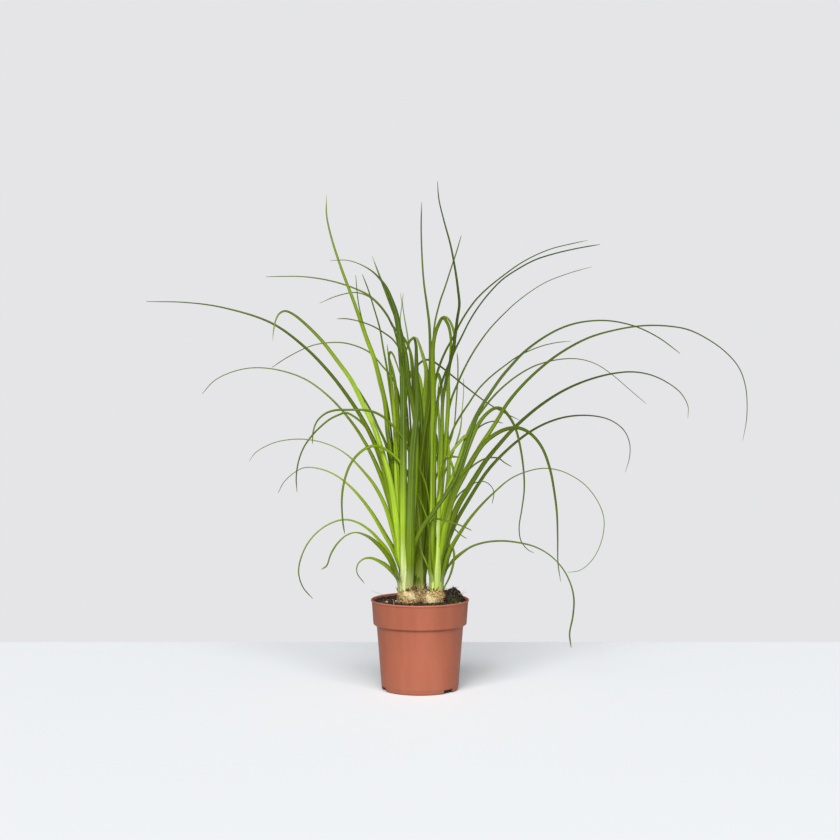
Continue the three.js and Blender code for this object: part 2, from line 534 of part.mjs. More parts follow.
// The samples where the blade gets a section: closer together where it bends.
function leafStations(samples, crown) {
  const sunk = ROOT_SUNK / Math.min(...crown.sheathGirth);
  let first = 0;
  samples.forEach(({ point }, index) => {
    if (shareInside(crown, point) > sunk) first = index;
  });
  const chosen = [first];
  let turn = 0;
  let length = 0;
  for (let i = first + 1; i < samples.length - 1; i++) {
    const before = samples[i].point.clone().sub(samples[i - 1].point);
    const after = samples[i + 1].point.clone().sub(samples[i].point);
    turn += before.angleTo(after);
    length += before.length();
    if (turn < STATION_TURN && length < STATION_LENGTH) continue;
    chosen.push(i);
    turn = 0;
    length = 0;
  }
  chosen.push(samples.length - 1);
  return chosen;
}

// A strap blade: four corners at each station, joined by flat faces split alike above and below.
function makeBlade(leaf, crown) {
  const samples = leafSamples(leaf);
  const stations = leafStations(samples, crown);
  const [rootTurn, tipTurn] = leaf.turn.map(THREE.MathUtils.degToRad);
  const corners = [];
  stations.forEach((index) => {
    const { along, point } = samples[index];
    const before = samples[Math.max(index - 1, 0)].point;
    const after = samples[Math.min(index + 1, samples.length - 1)].point;
    const forward = after.clone().sub(before).normalize();
    const turn = THREE.MathUtils.lerp(rootTurn, tipTurn, along);
    const across = new THREE.Vector3(forward.z, 0, -forward.x)
      .normalize()
      .multiplyScalar(Math.cos(turn))
      .add(new THREE.Vector3(0, Math.sin(turn), 0));
    across.addScaledVector(forward, -across.dot(forward)).normalize();
    const over = forward.clone().cross(across);
    const half = between(leaf.width, along) / 2;
    const thickness = THREE.MathUtils.lerp(BLADE_ROOT_THICKNESS, BLADE_TIP_THICKNESS, along);
    [[-1, -1], [1, -1], [1, 1], [-1, 1]].forEach(([side, face]) => {
      corners.push(
        point
          .clone()
          .addScaledVector(across, side * half)
          .addScaledVector(over, (face * thickness) / 2),
      );
    });
  });
  const faces = [];
  for (let s = 0; s < stations.length - 1; s++) {
    const near = s * 4;
    const far = near + 4;
    // underside, then the edge on the right, the top and the edge on the left
    faces.push(near, near + 1, far, near + 1, far + 1, far);
    faces.push(near + 1, near + 2, far + 1, near + 2, far + 2, far + 1);
    faces.push(near + 2, near + 3, far + 3, near + 2, far + 3, far + 2);
    faces.push(near + 3, near, far + 3, near, far, far + 3);
  }
  const last = (stations.length - 1) * 4;
  faces.push(0, 2, 1, 0, 3, 2);
  faces.push(last, last + 1, last + 2, last, last + 2, last + 3);
  const geometry = new THREE.BufferGeometry().setFromPoints(corners);
  geometry.setIndex(faces);
  return geometry;
}

function makeTuft(crown, leaves) {
  const sheath = solidOf(makeSheath(crown));
  return leaves.reduce((tuft, leaf) => tuft.add(solidOf(makeBlade(leaf, crown))), sheath);
}

// ---------------------------------------------------------------- the plant
const PLASTIC = new THREE.MeshStandardMaterial({ color: 0xbd765a, roughness: 0.5, metalness: 0 });
const PEAT = new THREE.MeshStandardMaterial({ color: 0x2a201c, roughness: 1, metalness: 0 });
const BULB_SKIN = new THREE.MeshStandardMaterial({ color: 0xc9a877, roughness: 0.9, metalness: 0 });
const LEAF = new THREE.MeshStandardMaterial({ color: 0x6f9418, roughness: 0.5, metalness: 0 });

const plant = new THREE.Group();

function place(name, solid, material) {
  const mesh = new THREE.Mesh(geometryOf(solid), material);
  mesh.name = name;
  plant.add(mesh);
}

place("pot", makePot(), PLASTIC);
place("soil", makeSoil(), PEAT);
place("bulb_left", makeBulb(CROWNS.left), BULB_SKIN);
place("bulb_right", makeBulb(CROWNS.right), BULB_SKIN);
place("bulb_back", makeBulb(CROWNS.back), BULB_SKIN);
place("leaves_left", makeTuft(CROWNS.left, LEFT_LEAVES), LEAF);
place("leaves_right", makeTuft(CROWNS.right, RIGHT_LEAVES), LEAF);
place("leaves_back", makeTuft(CROWNS.back, BACK_LEAVES), LEAF);

export default plant;
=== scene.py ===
"""A young ponytail palm in a terracotta-coloured nursery pot, dressed as for a studio photograph.

Sizes are in millimetres in the fields below and become metres where a mesh is made. +Z is up, the pot
stands on the origin and the front of the plant faces -Y.
"""

from __future__ import annotations

import logging
import math
import random
from contextlib import contextmanager
from dataclasses import dataclass, field
from enum import Enum
from typing import Any, Callable, Iterable, Iterator, Sequence

import bmesh
import bpy
from bpy.types import Material, Mesh, Node, NodeSocket, NodeTree, Object
from mathutils import Matrix, Vector
from mathutils.bvhtree import BVHTree

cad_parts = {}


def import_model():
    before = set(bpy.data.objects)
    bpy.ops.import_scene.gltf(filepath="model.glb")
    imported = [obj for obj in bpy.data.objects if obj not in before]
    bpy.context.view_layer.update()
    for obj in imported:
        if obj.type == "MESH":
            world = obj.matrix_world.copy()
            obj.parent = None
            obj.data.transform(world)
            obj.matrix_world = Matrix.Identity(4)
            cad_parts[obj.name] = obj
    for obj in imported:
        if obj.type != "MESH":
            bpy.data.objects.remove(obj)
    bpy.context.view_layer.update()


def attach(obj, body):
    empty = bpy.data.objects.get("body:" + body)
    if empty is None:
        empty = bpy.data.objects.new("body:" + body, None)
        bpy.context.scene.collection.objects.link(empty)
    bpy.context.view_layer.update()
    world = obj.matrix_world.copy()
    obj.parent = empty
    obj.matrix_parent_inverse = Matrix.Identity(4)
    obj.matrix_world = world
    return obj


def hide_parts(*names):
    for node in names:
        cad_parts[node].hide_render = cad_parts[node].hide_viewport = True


LOG = logging.getLogger("ponytail_palm")

MM = 0.001
ORIGIN = (0.0, 0.0, 0.0)

Pair = tuple[float, float]
Triple = tuple[float, float, float]
Colour = tuple[float, ...]
Outline = Sequence[Pair]
Area = Callable[[float, float], bool]


# ---------------------------------------------------------------- colours
def linear(red: float, green: float, blue: float) -> Colour:
    """Turns a screen colour of 0 to 255 into the opaque linear one that a shader takes."""
    shares = [channel / 255 for channel in (red, green, blue)]
    return (*(c / 12.92 if c <= 0.04045 else ((c + 0.055) / 1.055) ** 2.4 for c in shares), 1.0)


class Tone(Enum):
    """The greens of the leaves, from the sunlit lower blades to the dry ends; DEEP is partly a painted
    shade, the dark of blades that lie in shade.
    """

    CREAM = (232, 236, 176)
    LIME = (154, 185, 46)
    GRASS = (130, 156, 24)
    OLIVE = (99, 121, 8)
    # DEEP: the leaves' dark green, partly a painted shade for blades that lie in shade
    DEEP = (74, 94, 4)
    GREY = (92, 116, 34)
    PALE = (160, 180, 80)
    STRAW = (160, 150, 96)

    def vector(self) -> Vector:
        """Returns the tone as a linear colour."""
        return Vector(linear(*self.value)[:3])

    def towards(self, other: Tone, share: float) -> Vector:
        """Mixes the tone with a share of another."""
        return self.vector().lerp(other.vector(), share)


CREAM, LIME, GRASS, OLIVE, DEEP, GREY, PALE, STRAW = Tone


class Slot(Enum):
    """The record's material slots."""

    POT = "pot_plastic"
    SOIL = "soil"
    BULB = "bulb_skin"
    LEAF = "leaf"


class Pattern(Enum):
    """The patterns that roughen a surface."""

    CLOUDS = "CLOUDS"
    CELLS = "VORONOI"


# ---------------------------------------------------------------- hands on a mesh
def free_hands() -> None:
    """Leaves edit mode with nothing selected, so that an operator acts on the next piece alone."""
    if bpy.context.object is not None and bpy.context.object.mode != "OBJECT":
        bpy.ops.object.mode_set(mode="OBJECT")
    bpy.ops.object.select_all(action="DESELECT")


def take(piece: Object) -> Object:
    """Makes one piece the selected and active one.

    Args:
        piece: the piece.

    Returns:
        The same piece.
    """
    free_hands()
    piece.select_set(True)
    bpy.context.view_layer.objects.active = piece
    return piece


def start(name: str, add: Callable[..., Any], **settings: Any) -> Object:
    """Adds a primitive to model from, and puts its place into its mesh.

    Args:
        name: the name of the piece and of its mesh.
        add: the operator that adds it.
        **settings: the operator's settings.

    Returns:
        The new piece.
    """
    free_hands()
    add(**settings)
    piece = take(bpy.context.object)
    piece.name = piece.data.name = name
    bpy.ops.object.transform_apply(location=True, rotation=True, scale=True)
    return piece


def sheet(name: str, across: int, along: int) -> Object:
    """Starts a piece from a flat sheet, 1 by 1, of so many cells."""
    return start(name, bpy.ops.mesh.primitive_grid_add, x_subdivisions=across, y_subdivisions=along, size=1)


def ball(name: str, fineness: int) -> Object:
    """Starts a piece from a ball with a radius of 1."""
    return start(name, bpy.ops.mesh.primitive_ico_sphere_add, subdivisions=fineness, radius=1)


@contextmanager
def editing(piece: Object) -> Iterator[Object]:
    """Opens a piece in edit mode with all of it selected, and closes it again.

    Args:
        piece: the piece to edit.

    Yields:
        The same piece.
    """
    take(piece)
    bpy.ops.object.mode_set(mode="EDIT")
    bpy.ops.mesh.select_mode(type="VERT")
    select_all()
    yield piece
    bpy.ops.object.mode_set(mode="OBJECT")


def select_all() -> None:
    """Selects all of the piece that is open in edit mode."""
    bpy.ops.mesh.select_all(action="SELECT")


def choose(piece: Object, accepts: Callable[[Vector], bool]) -> None:
    """Selects the corners of a piece in edit mode by their place.

    Args:
        piece: the piece that is open in edit mode.
        accepts: says whether a place, in metres, is wanted.
    """
    bpy.ops.mesh.select_all(action="DESELECT")
    mesh = bmesh.from_edit_mesh(piece.data)
    for vertex in mesh.verts:
        if accepts(vertex.co):
            vertex.select_set(True)
    mesh.select_flush_mode()
    bmesh.update_edit_mesh(piece.data)


def shift(x: float, y: float, z: float) -> None:
    """Moves what is selected, in metres."""
    bpy.ops.transform.translate(value=(x, y, z))


def scale(x: float, y: float, z: float, about: Triple | None = None) -> None:
    """Scales what is selected about a place, or about its own middle."""
    bpy.ops.transform.resize(value=(x, y, z), **({"center_override": about} if about else {}))


def finish_modifier(piece: Object, kind: str, **settings: Any) -> None:
    """Adds a modifier to a piece and applies it.

    Args:
        piece: the piece.
        kind: the modifier's kind.
        **settings: its values.
    """
    take(piece)
    bpy.ops.object.modifier_add(type=kind)
    modifier = piece.modifiers[-1]
    for setting, value in settings.items():
        setattr(modifier, setting, value)
    bpy.ops.object.modifier_apply(modifier=modifier.name)


def roughen(
    piece: Object, *layers: tuple[Pattern, float, float], group: str = "", along: str = "NORMAL"
) -> None:
    """Pushes a surface in and out by patterns in space.

    Args:
        piece: the piece.
        *layers: for each pattern its kind, how far apart its bumps lie and their height, in millimetres.
        group: the vertex group that takes part, or none for all.
        along: the direction of the push.
    """
    for pattern, size, height in layers:
        texture = bpy.data.textures.new(f"{piece.name}_{pattern.name.lower()}", type=pattern.value)
        texture.noise_scale = size * MM
        push = {"texture": texture, "texture_coords": "LOCAL", "strength": height * MM, "mid_level": 0.5}
        finish_modifier(piece, "DISPLACE", **push, vertex_group=group, direction=along)
        bpy.data.textures.remove(texture)


def thicken(piece: Object, thickness: float) -> None:
    """Gives thin sheets a thickness in millimetres, half to each side."""
    finish_modifier(piece, "SOLIDIFY", thickness=thickness * MM, offset=0.0)


def turned(name: str, outline: Outline, sides: int) -> Object:
    """Turns an outline about the upright axis, as on a lathe.

    Args:
        name: the new piece's name.
        outline: radius and height of each corner, in millimetres, from the axis back to the axis.
        sides: how many faces go round.

    Returns:
        The closed piece.
    """
    piece = start(name, bpy.ops.mesh.primitive_plane_add, size=MM)
    with editing(piece):
        bpy.ops.mesh.merge(type="CENTER")
        here = Vector()
        for index, (radius, height) in enumerate(outline):
            there = Vector((radius * MM, 0, height * MM))
            if index == 0:
                shift(*(there - here))
            else:
                bpy.ops.mesh.extrude_vertices_move(TRANSFORM_OT_translate={"value": there - here})
            here = there
        select_all()
        bpy.ops.mesh.spin(steps=sides, angle=math.tau, center=ORIGIN, axis=(0, 0, 1))
        select_all()
        bpy.ops.mesh.remove_doubles(threshold=1e-6)
        bpy.ops.mesh.normals_make_consistent(inside=False)
    return piece


def smooth(piece: Object, degrees: float) -> Object:
    """Shades a piece smooth, with a crease where two faces meet at more than an angle.

    Args:
        piece: the piece.
        degrees: the angle.

    Returns:
        The same piece.
    """
    take(piece)
    bpy.ops.object.shade_smooth_by_angle(angle=math.radians(degrees))
    return piece


def joined(name: str, parts: Sequence[Object]) -> Object:
    """Joins several objects into one piece.

    Args:
        name: the piece's name.
        parts: the objects.

    Returns:
        The piece.
    """
    take(parts[0])
    for part in parts:
        part.select_set(True)
    bpy.ops.object.join()
    parts[0].name = parts[0].data.name = name
    return parts[0]


def tint(piece: Object, value: float) -> None:
    """Stores one number from 0 to 1 on every corner of a copy, so that the copies differ in colour."""
    attribute = piece.data.attributes.get("tint") or piece.data.attributes.new("tint", "FLOAT", "POINT")
    attribute.data.foreach_set("value", [value] * len(piece.data.vertices))


def copied(master: Object, name: str) -> Object:
    """Copies a master shape, with a mesh of its own.

    Args:
        master: the shape.
        name: the copy's name.

    Returns:
        The copy.
    """
    copy = bpy.data.objects.new(name, master.data.copy())
    bpy.context.scene.collection.objects.link(copy)
    return copy


def strewn(name: str, masters: Sequence[Object], places: Iterable[Matrix], chance: random.Random) -> Object:
    """Copies small master shapes to many places, each with its own mesh, as one piece.

    Args:
        name: the piece's name.
        masters: the shapes that are taken in turn, and removed at the end.
        places: where each copy goes.
        chance: the source of each copy's tint.

    Returns:
        The piece.
    """
    copies = []
    for index, place in enumerate(places):
        copy = copied(masters[index % len(masters)], name)
        copy.data.transform(place)
        tint(copy, chance.random())
        copies.append(copy)
    for master in masters:
        bpy.data.objects.remove(master)
    return joined(name, copies)


def surface_tree(*pieces: Object) -> BVHTree:
    """Makes a search tree of several pieces' surfaces, for finding where a thing comes to rest.

    Args:
        *pieces: the pieces.

    Returns:
        The tree.
    """
    corners: list[Vector] = []
    faces: list[list[int]] = []
    for piece in pieces:
        first = len(corners)
        corners.extend(vertex.co.copy() for vertex in piece.data.vertices)
        faces.extend([first + corner for corner in face.vertices] for face in piece.data.polygons)
    return BVHTree.FromPolygons(corners, faces)


def standing(place: Vector, normal: Vector, spin: float, size: Sequence[float]) -> Matrix:
    """Gives the matrix that scales a shape, spins it about +Z and stands +Z along a normal at a place."""
    turn = normal.to_track_quat("Z", "Y").to_matrix().to_4x4()
    return Matrix.Translation(place) @ turn @ Matrix.Rotation(spin, 4, "Z") @ Matrix.Diagonal((*size, 1))


def round_about(turn: float, up: float = 0.0) -> Vector:
    """Returns the level direction at a turn from +X in radians, raised by up."""
    return Vector((math.cos(turn), math.sin(turn), up))


def show(piece: Object, finish: Material, slot: Slot, *stands_for: str) -> None:
    """Dresses a finished piece and hands it to the frame.

    Args:
        piece: the piece.
        finish: its material.
        slot: the record's slot; not used.
        *stands_for: the CAD nodes that it replaces.
    """
    piece.data.materials.clear()
    piece.data.materials.append(finish)
    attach(piece, "root")
    if stands_for:
        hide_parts(*stands_for)
    LOG.info("%s: %d faces, %s", piece.name, len(piece.data.polygons), finish.name)


# ---------------------------------------------------------------- materials
class Bench:
    """A place to lay out shader nodes, in a material or in a group."""

    def __init__(self, tree: NodeTree) -> None:
        """Keeps the tree that the nodes go into."""
        self.nodes = tree.nodes
        self.links = tree.links

    def add(self, kind: str, inputs: dict[Any, Any] | None = None, **settings: Any) -> Node:
        """Adds a node, sets it up and links what feeds it.

        Args:
            kind: the node's type.
            inputs: for each input's name or number, a value or the socket that feeds it.
            **settings: the node's own settings.

        Returns:
            The node.
        """
        node = self.nodes.new(kind)
        for setting, value in settings.items():
            setattr(node, setting, value)
        for socket, value in (inputs or {}).items():
            if isinstance(value, NodeSocket):
                self.links.new(value, node.inputs[socket])
            else:
                node.inputs[socket].default_value = value
        return node

    def maths(self, operation: str, *values: Any) -> NodeSocket:
        """Works out one number from others, each a value or a socket."""
        return self.add("ShaderNodeMath", dict(enumerate(values)), operation=operation).outputs[0]

    def spread(self, value: NodeSocket, lows: Sequence[Any], highs: Sequence[Any]) -> NodeSocket:
        """Maps a number from the range that it has to another, and holds it there."""
        inputs = dict(enumerate((value, *lows, *highs)))
        return self.add("ShaderNodeMapRange", inputs, clamp=True).outputs[0]

    def blend(self, share: Any, first: Any, second: Any) -> NodeSocket:
        """Mixes two colours by the second one's share."""
        return self.add("ShaderNodeMix", {0: share, 6: first, 7: second}, data_type="RGBA").outputs[2]

    def scaled(self, vector: Any, size: Any) -> NodeSocket:
        """Multiplies a vector or a colour by a number."""
        return self.add("ShaderNodeVectorMath", {0: vector, "Scale": size}, operation="SCALE").outputs[0]

    def noise(self, place: NodeSocket, size: Any, detail: float = 3.0, output: int = 0) -> NodeSocket:
        """Gives a soft random number about 0.5, or a colour, with size bumps to the metre."""
        inputs = {"Vector": place, "Scale": size, "Detail": detail}
        return self.add("ShaderNodeTexNoise", inputs).outputs[output]

    def stretched(self, place: NodeSocket, size: Triple) -> NodeSocket:
        """Stretches the space that a pattern lies in."""
        return self.add("ShaderNodeMapping", {"Vector": place, "Scale": size}).outputs[0]

    def part(self, vector: NodeSocket, axis: int) -> NodeSocket:
        """Takes one axis, 0 to 2, of a place."""
        return self.add("ShaderNodeSeparateXYZ", {0: vector}).outputs[axis]

    def end_in(self, output: str, share: NodeSocket, first: Node, second: Node) -> None:
        """Mixes two shaders by the second one's share, and links them to the output node of that name."""
        mixed = self.add("ShaderNodeMixShader", {0: share, 1: first.outputs[0], 2: second.outputs[0]})
        self.links.new(mixed.outputs[0], self.nodes[output].inputs["Surface"])


class Surface(Bench):
    """A material in the making: one Principled shader and the nodes that feed it."""

    def __init__(self, name: str, **constants: Any) -> None:
        """Starts a material.

        Args:
            name: the material's name.
            **constants: the shader's inputs that are the same all over, with underscores for spaces.
        """
        self.material = bpy.data.materials.new(name)
        self.material.use_nodes = True
        super().__init__(self.material.node_tree)
        self.shader = self.nodes["Principled BSDF"]
        for socket, value in constants.items():
            self.shader.inputs[socket.replace("_", " ")].default_value = value

    def place(self) -> NodeSocket:
        """Returns the place on the piece, in metres from the frame's origin."""
        return self.add("ShaderNodeTexCoord").outputs["Object"]

    def read(self, attribute: str, output: str = "Fac") -> NodeSocket:
        """Reads what is stored on the piece's corners, as Fac, Color or Alpha."""
        return self.add("ShaderNodeAttribute", attribute_name=attribute).outputs[output]

    def use(self, effect: NodeTree, *values: Any) -> NodeSocket:
        """Places a shared effect, with a value or a socket for each of its inputs in turn."""
        return self.add("ShaderNodeGroup", dict(enumerate(values)), node_tree=effect).outputs[0]

    def feed(self, **sockets: NodeSocket) -> Material:
        """Links the shader's inputs and hands the material over.

        Args:
            **sockets: what feeds each input, with an underscore for the space in its name.

        Returns:
            The material.
        """
        for socket, value in sockets.items():
            self.links.new(value, self.shader.inputs[socket.replace("_", " ")])
        return self.material


class Effect(Bench):
    """A shared effect in the making: a node group with named sockets."""

    def __init__(self, name: str, output: str, **inputs: float | None) -> None:
        """Starts a group.

        Args:
            name: the group's name.
            output: the output's name; a Normal is a vector and anything else a number.
            **inputs: each input's first value, or none for a place.
        """
        self.tree = bpy.data.node_groups.new(name, "ShaderNodeTree")
        super().__init__(self.tree)
        kinds = {True: "NodeSocketVector", False: "NodeSocketFloat"}
        for socket, value in inputs.items():
            kind = kinds[value is None]
            made = self.tree.interface.new_socket(socket, in_out="INPUT", socket_type=kind)
            if value is not None:
                made.default_value = value
        kind = kinds[output == "Normal"]
        self.tree.interface.new_socket(output, in_out="OUTPUT", socket_type=kind)
        self.given = self.nodes.new("NodeGroupInput").outputs
        self.result = self.nodes.new("NodeGroupOutput").inputs[0]

    def put_out(self, value: NodeSocket) -> NodeTree:
        """Links the effect's result and returns the group."""
        self.links.new(value, self.result)
        return self.tree


def mottle_effect() -> NodeTree:
    """Makes the effect of a surface that is a little lighter here and darker there.

    Returns:
        A group that puts out a number between its Low and High.
    """
    effect = Effect("mottle", "Value", Vector=None, Scale=100.0, Low=0.9, High=1.1)
    place, size, low, high = effect.given[:4]
    return effect.put_out(effect.spread(effect.noise(place, size, 4.0), (0.3, 0.7), (low, high)))


def flecks_effect() -> NodeTree:
    """Makes the effect of small separate flecks, such as scales, grit or spots.

    Returns:
        A group that puts out 1 in a fleck and 0 between them.
    """
    effect = Effect("flecks", "Mask", Vector=None, Scale=800.0, Share=0.3)
    place, size, share = effect.given[:3]
    warp = effect.noise(place, size, 2.0, output=1)
    wander = effect.scaled(warp, effect.maths("DIVIDE", 0.9, size))
    moved = effect.add("ShaderNodeVectorMath", {0: place, 1: wander}, operation="ADD").outputs[0]
    cells = effect.add("ShaderNodeTexVoronoi", {"Vector": moved, "Scale": size}).outputs["Color"]
    pick = effect.add("ShaderNodeSeparateColor", {0: cells}).outputs[0]
    return effect.put_out(effect.maths("LESS_THAN", pick, share))


def ribs_effect() -> NodeTree:
    """Makes the effect of fine lines that run side by side.

    Returns:
        A group that puts out a wave between 0 and 1 over the distance across.
    """
    effect = Effect("ribs", "Value", Across=0.0, Pitch=0.001, Drift=0.0)
    across, pitch, drift = effect.given[:3]
    lines = effect.maths("ADD", effect.maths("DIVIDE", across, pitch), drift)
    wave = effect.maths("SINE", effect.maths("MULTIPLY", lines, math.tau))
    return effect.put_out(effect.maths("MULTIPLY_ADD", wave, 0.5, 0.5))


def grain_effect() -> NodeTree:
    """Makes the effect of a fine grain that catches the light.

    Returns:
        A group that puts out a normal.
    """
    effect = Effect("grain", "Normal", Vector=None, Scale=1000.0, Depth=0.0001)
    place, size, depth = effect.given[:3]
    height = effect.noise(place, size, 5.0)
    return effect.put_out(effect.add("ShaderNodeBump", {"Height": height, "Distance": depth}).outputs[0])


def dust_effect() -> NodeTree:
    """Makes the effect of soil dust that lies on a surface, thicker towards a given height.

    Returns:
        A group that puts out how much dust shows.
    """
    effect = Effect("dust", "Mask", Vector=None, Scale=60.0, Clean=0.02, Dusty=0.0, Amount=0.3)
    place, size, clean, dusty, amount = effect.given[:5]
    near = effect.spread(effect.part(place, 2), (clean, dusty), (0.0, 1.0))
    patchy = effect.spread(effect.noise(place, size, 6.0), (0.42, 0.68), (0.0, 1.0))
    return effect.put_out(effect.maths("MULTIPLY", effect.maths("MULTIPLY", near, patchy), amount))


@dataclass
class Effects:
    """The effects that several materials share, each built once."""

    mottle: NodeTree = field(default_factory=mottle_effect)
    flecks: NodeTree = field(default_factory=flecks_effect)
    ribs: NodeTree = field(default_factory=ribs_effect)
    grain: NodeTree = field(default_factory=grain_effect)
    dust: NodeTree = field(default_factory=dust_effect)


@dataclass(frozen=True)
class PotPlastic:
    """Smooth moulded plastic, warm terracotta, with faint flow marks, scuffs, soil dust and a painted
    highlight along the lip, partly its worn edge.
    """

    light: Colour = linear(146, 84, 64)
    dark: Colour = linear(139, 78, 57)
    scuff: Colour = linear(160, 101, 82)
    dust: Colour = linear(110, 88, 72)
    # painted highlight: the lighter lip colour stands for light caught along the rim's top edge, partly its
    # worn edge
    lip: Colour = linear(172, 110, 92)
    lip_highlight_heights: Pair = (109.6, 110.2)
    flow_scale: Triple = (60.0, 60.0, 9.0)
    scuff_scale: Triple = (420.0, 420.0, 2400.0)
    dust_height: float = 0.03
    roughness: Pair = (0.38, 0.50)
    dusty_roughness: float = 0.3
    grain: float = 0.00004

    def make(self, effects: Effects) -> Material:
        """Builds the material.

        Args:
            effects: the shared effects.

        Returns:
            The material.
        """
        s = Surface("terracotta_plastic", Specular_IOR_Level=0.12, IOR=1.49)
        place = s.place()
        flow = s.noise(s.stretched(place, self.flow_scale), 1.0, 5.0)
        base = s.blend(s.spread(flow, (0.35, 0.65), (0.0, 1.0)), self.dark, self.light)
        base = s.blend(s.use(effects.mottle, place, 240.0, 0.0, 0.05), base, self.scuff)
        scuffs = s.use(effects.flecks, s.stretched(place, self.scuff_scale), 1.0, 0.012)
        patch = s.spread(s.noise(place, 70.0), (0.5, 0.62), (0.0, 0.5))
        base = s.blend(s.maths("MULTIPLY", scuffs, patch), base, self.scuff)
        # painted highlight along the top of the lip, partly its worn edge
        lip = [height * MM for height in self.lip_highlight_heights]
        base = s.blend(s.spread(s.part(place, 2), lip, (0.0, 0.4)), base, self.lip)
        foot = s.use(effects.dust, place, 130.0, self.dust_height, 0.0, 0.35)
        base = s.blend(foot, base, self.dust)
        rough = s.use(effects.mottle, place, 90.0, *self.roughness)
        rough = s.maths("MULTIPLY_ADD", foot, self.dusty_roughness, rough)
        normal = s.use(effects.grain, place, 1300.0, self.grain)
        return s.feed(Base_Color=base, Roughness=rough, Normal=normal)


@dataclass(frozen=True)
class Peat:
    """Dark moist peat with brown fibres and a few pale grains."""

    black: Colour = linear(8, 6, 5)
    brown: Colour = linear(38, 27, 19)
    grit: Colour = linear(150, 124, 94)
    grit_share: float = 0.035
    roughness: Pair = (0.72, 0.98)
    grain: float = 0.0012

    def make(self, effects: Effects) -> Material:
        """Builds the material.

        Args:
            effects: the shared effects.

        Returns:
            The material.
        """
        s = Surface("peat", Specular_IOR_Level=0.25)
        place = s.place()
        soft = s.use(effects.mottle, place, 380.0, 0.0, 1.0)
        base = s.blend(s.maths("POWER", soft, 1.6), self.black, self.brown)
        grit = s.use(effects.flecks, place, 1500.0, self.grit_share)
        base = s.blend(s.maths("MULTIPLY", grit, 0.7), base, self.grit)
        rough = s.use(effects.mottle, place, 700.0, *self.roughness)
        normal = s.use(effects.grain, place, 1400.0, self.grain)
        return s.feed(Base_Color=base, Roughness=rough, Normal=normal)


@dataclass(frozen=True)
class Litter:
    """Small loose stuff that varies from copy to copy between two colours."""

    name: str
    first: Colour
    second: Colour
    roughness: Pair = (0.7, 0.95)
    grain: float = 0.0003

    def make(self, effects: Effects) -> Material:
        """Builds the material.

        Args:
            effects: the shared effects.

        Returns:
            The material.
        """
        s = Surface(self.name, Specular_IOR_Level=0.3)
        place = s.place()
        share = s.maths("ADD", s.read("tint"), s.use(effects.mottle, place, 900.0, -0.25, 0.25))
        base = s.blend(s.spread(share, (0.0, 1.0), (0.0, 1.0)), self.first, self.second)
        rough = s.use(effects.mottle, place, 600.0, *self.roughness)
        normal = s.use(effects.grain, place, 1800.0, self.grain)
        return s.feed(Base_Color=base, Roughness=rough, Normal=normal)


@dataclass(frozen=True)
class BulbSkin:
    """The corky skin of a bulb: tan and ochre, with brown scales, and smooth and pale where it is bare;
    those pale patches face the front and are partly a painted highlight.
    """

    tan: Colour = linear(172, 146, 98)
    ochre: Colour = linear(152, 128, 56)
    # pale bare skin, also the colour of the painted highlight on the front of each bulb
    lit_bare: Colour = linear(212, 194, 150)
    brown: Colour = linear(66, 34, 18)
    soiled: Colour = linear(64, 44, 30)
    soiled_heights: Pair = (0.113, 0.103)
    ring_scale: Triple = (1.0, 1.0, 2.6)
    scatter: Triple = (1.0, 0.6, 0.3)
    roughness: Pair = (0.55, 0.9)
    grain: float = 0.0014

    def make(self, effects: Effects) -> Material:
        """Builds the material.

        Args:
            effects: the shared effects.

        Returns:
            The material.
        """
        s = Surface("corky_skin", Specular_IOR_Level=0.35, Subsurface_Weight=0.12, Subsurface_Scale=0.002)
        s.shader.inputs["Subsurface Radius"].default_value = self.scatter
        place = s.place()
        rings = s.stretched(place, self.ring_scale)
        base = s.blend(s.use(effects.mottle, place, 150.0, 0.0, 1.0), self.ochre, self.tan)
        # pale bare patches, partly a painted highlight on the lit front of the bulb
        base = s.blend(s.maths("MULTIPLY", s.read("lit_bare"), 0.8), base, self.lit_bare)
        light = s.use(effects.flecks, place, 640.0, 0.26)
        base = s.blend(s.maths("MULTIPLY", light, 0.75), base, self.lit_bare)
        coarse = s.use(effects.flecks, rings, 560.0, 0.26)
        fine = s.use(effects.flecks, rings, 900.0, 0.24)
        patchy = s.spread(s.noise(place, 170.0), (0.42, 0.58), (0.35, 1.0))
        covered = s.maths("SUBTRACT", 1.0, s.maths("MULTIPLY", s.read("lit_bare"), 0.45))
        scaly = s.maths("MULTIPLY", s.maths("MAXIMUM", coarse, fine), patchy)
        base = s.blend(s.maths("MULTIPLY", s.maths("MULTIPLY", scaly, covered), 0.85), base, self.brown)
        soiled = s.use(effects.dust, place, 300.0, *self.soiled_heights, 0.85)
        base = s.blend(soiled, base, self.soiled)
        rough = s.use(effects.mottle, place, 500.0, *self.roughness)
        normal = s.use(effects.grain, rings, 900.0, self.grain)
        return s.feed(Base_Color=base, Roughness=rough, Normal=normal)


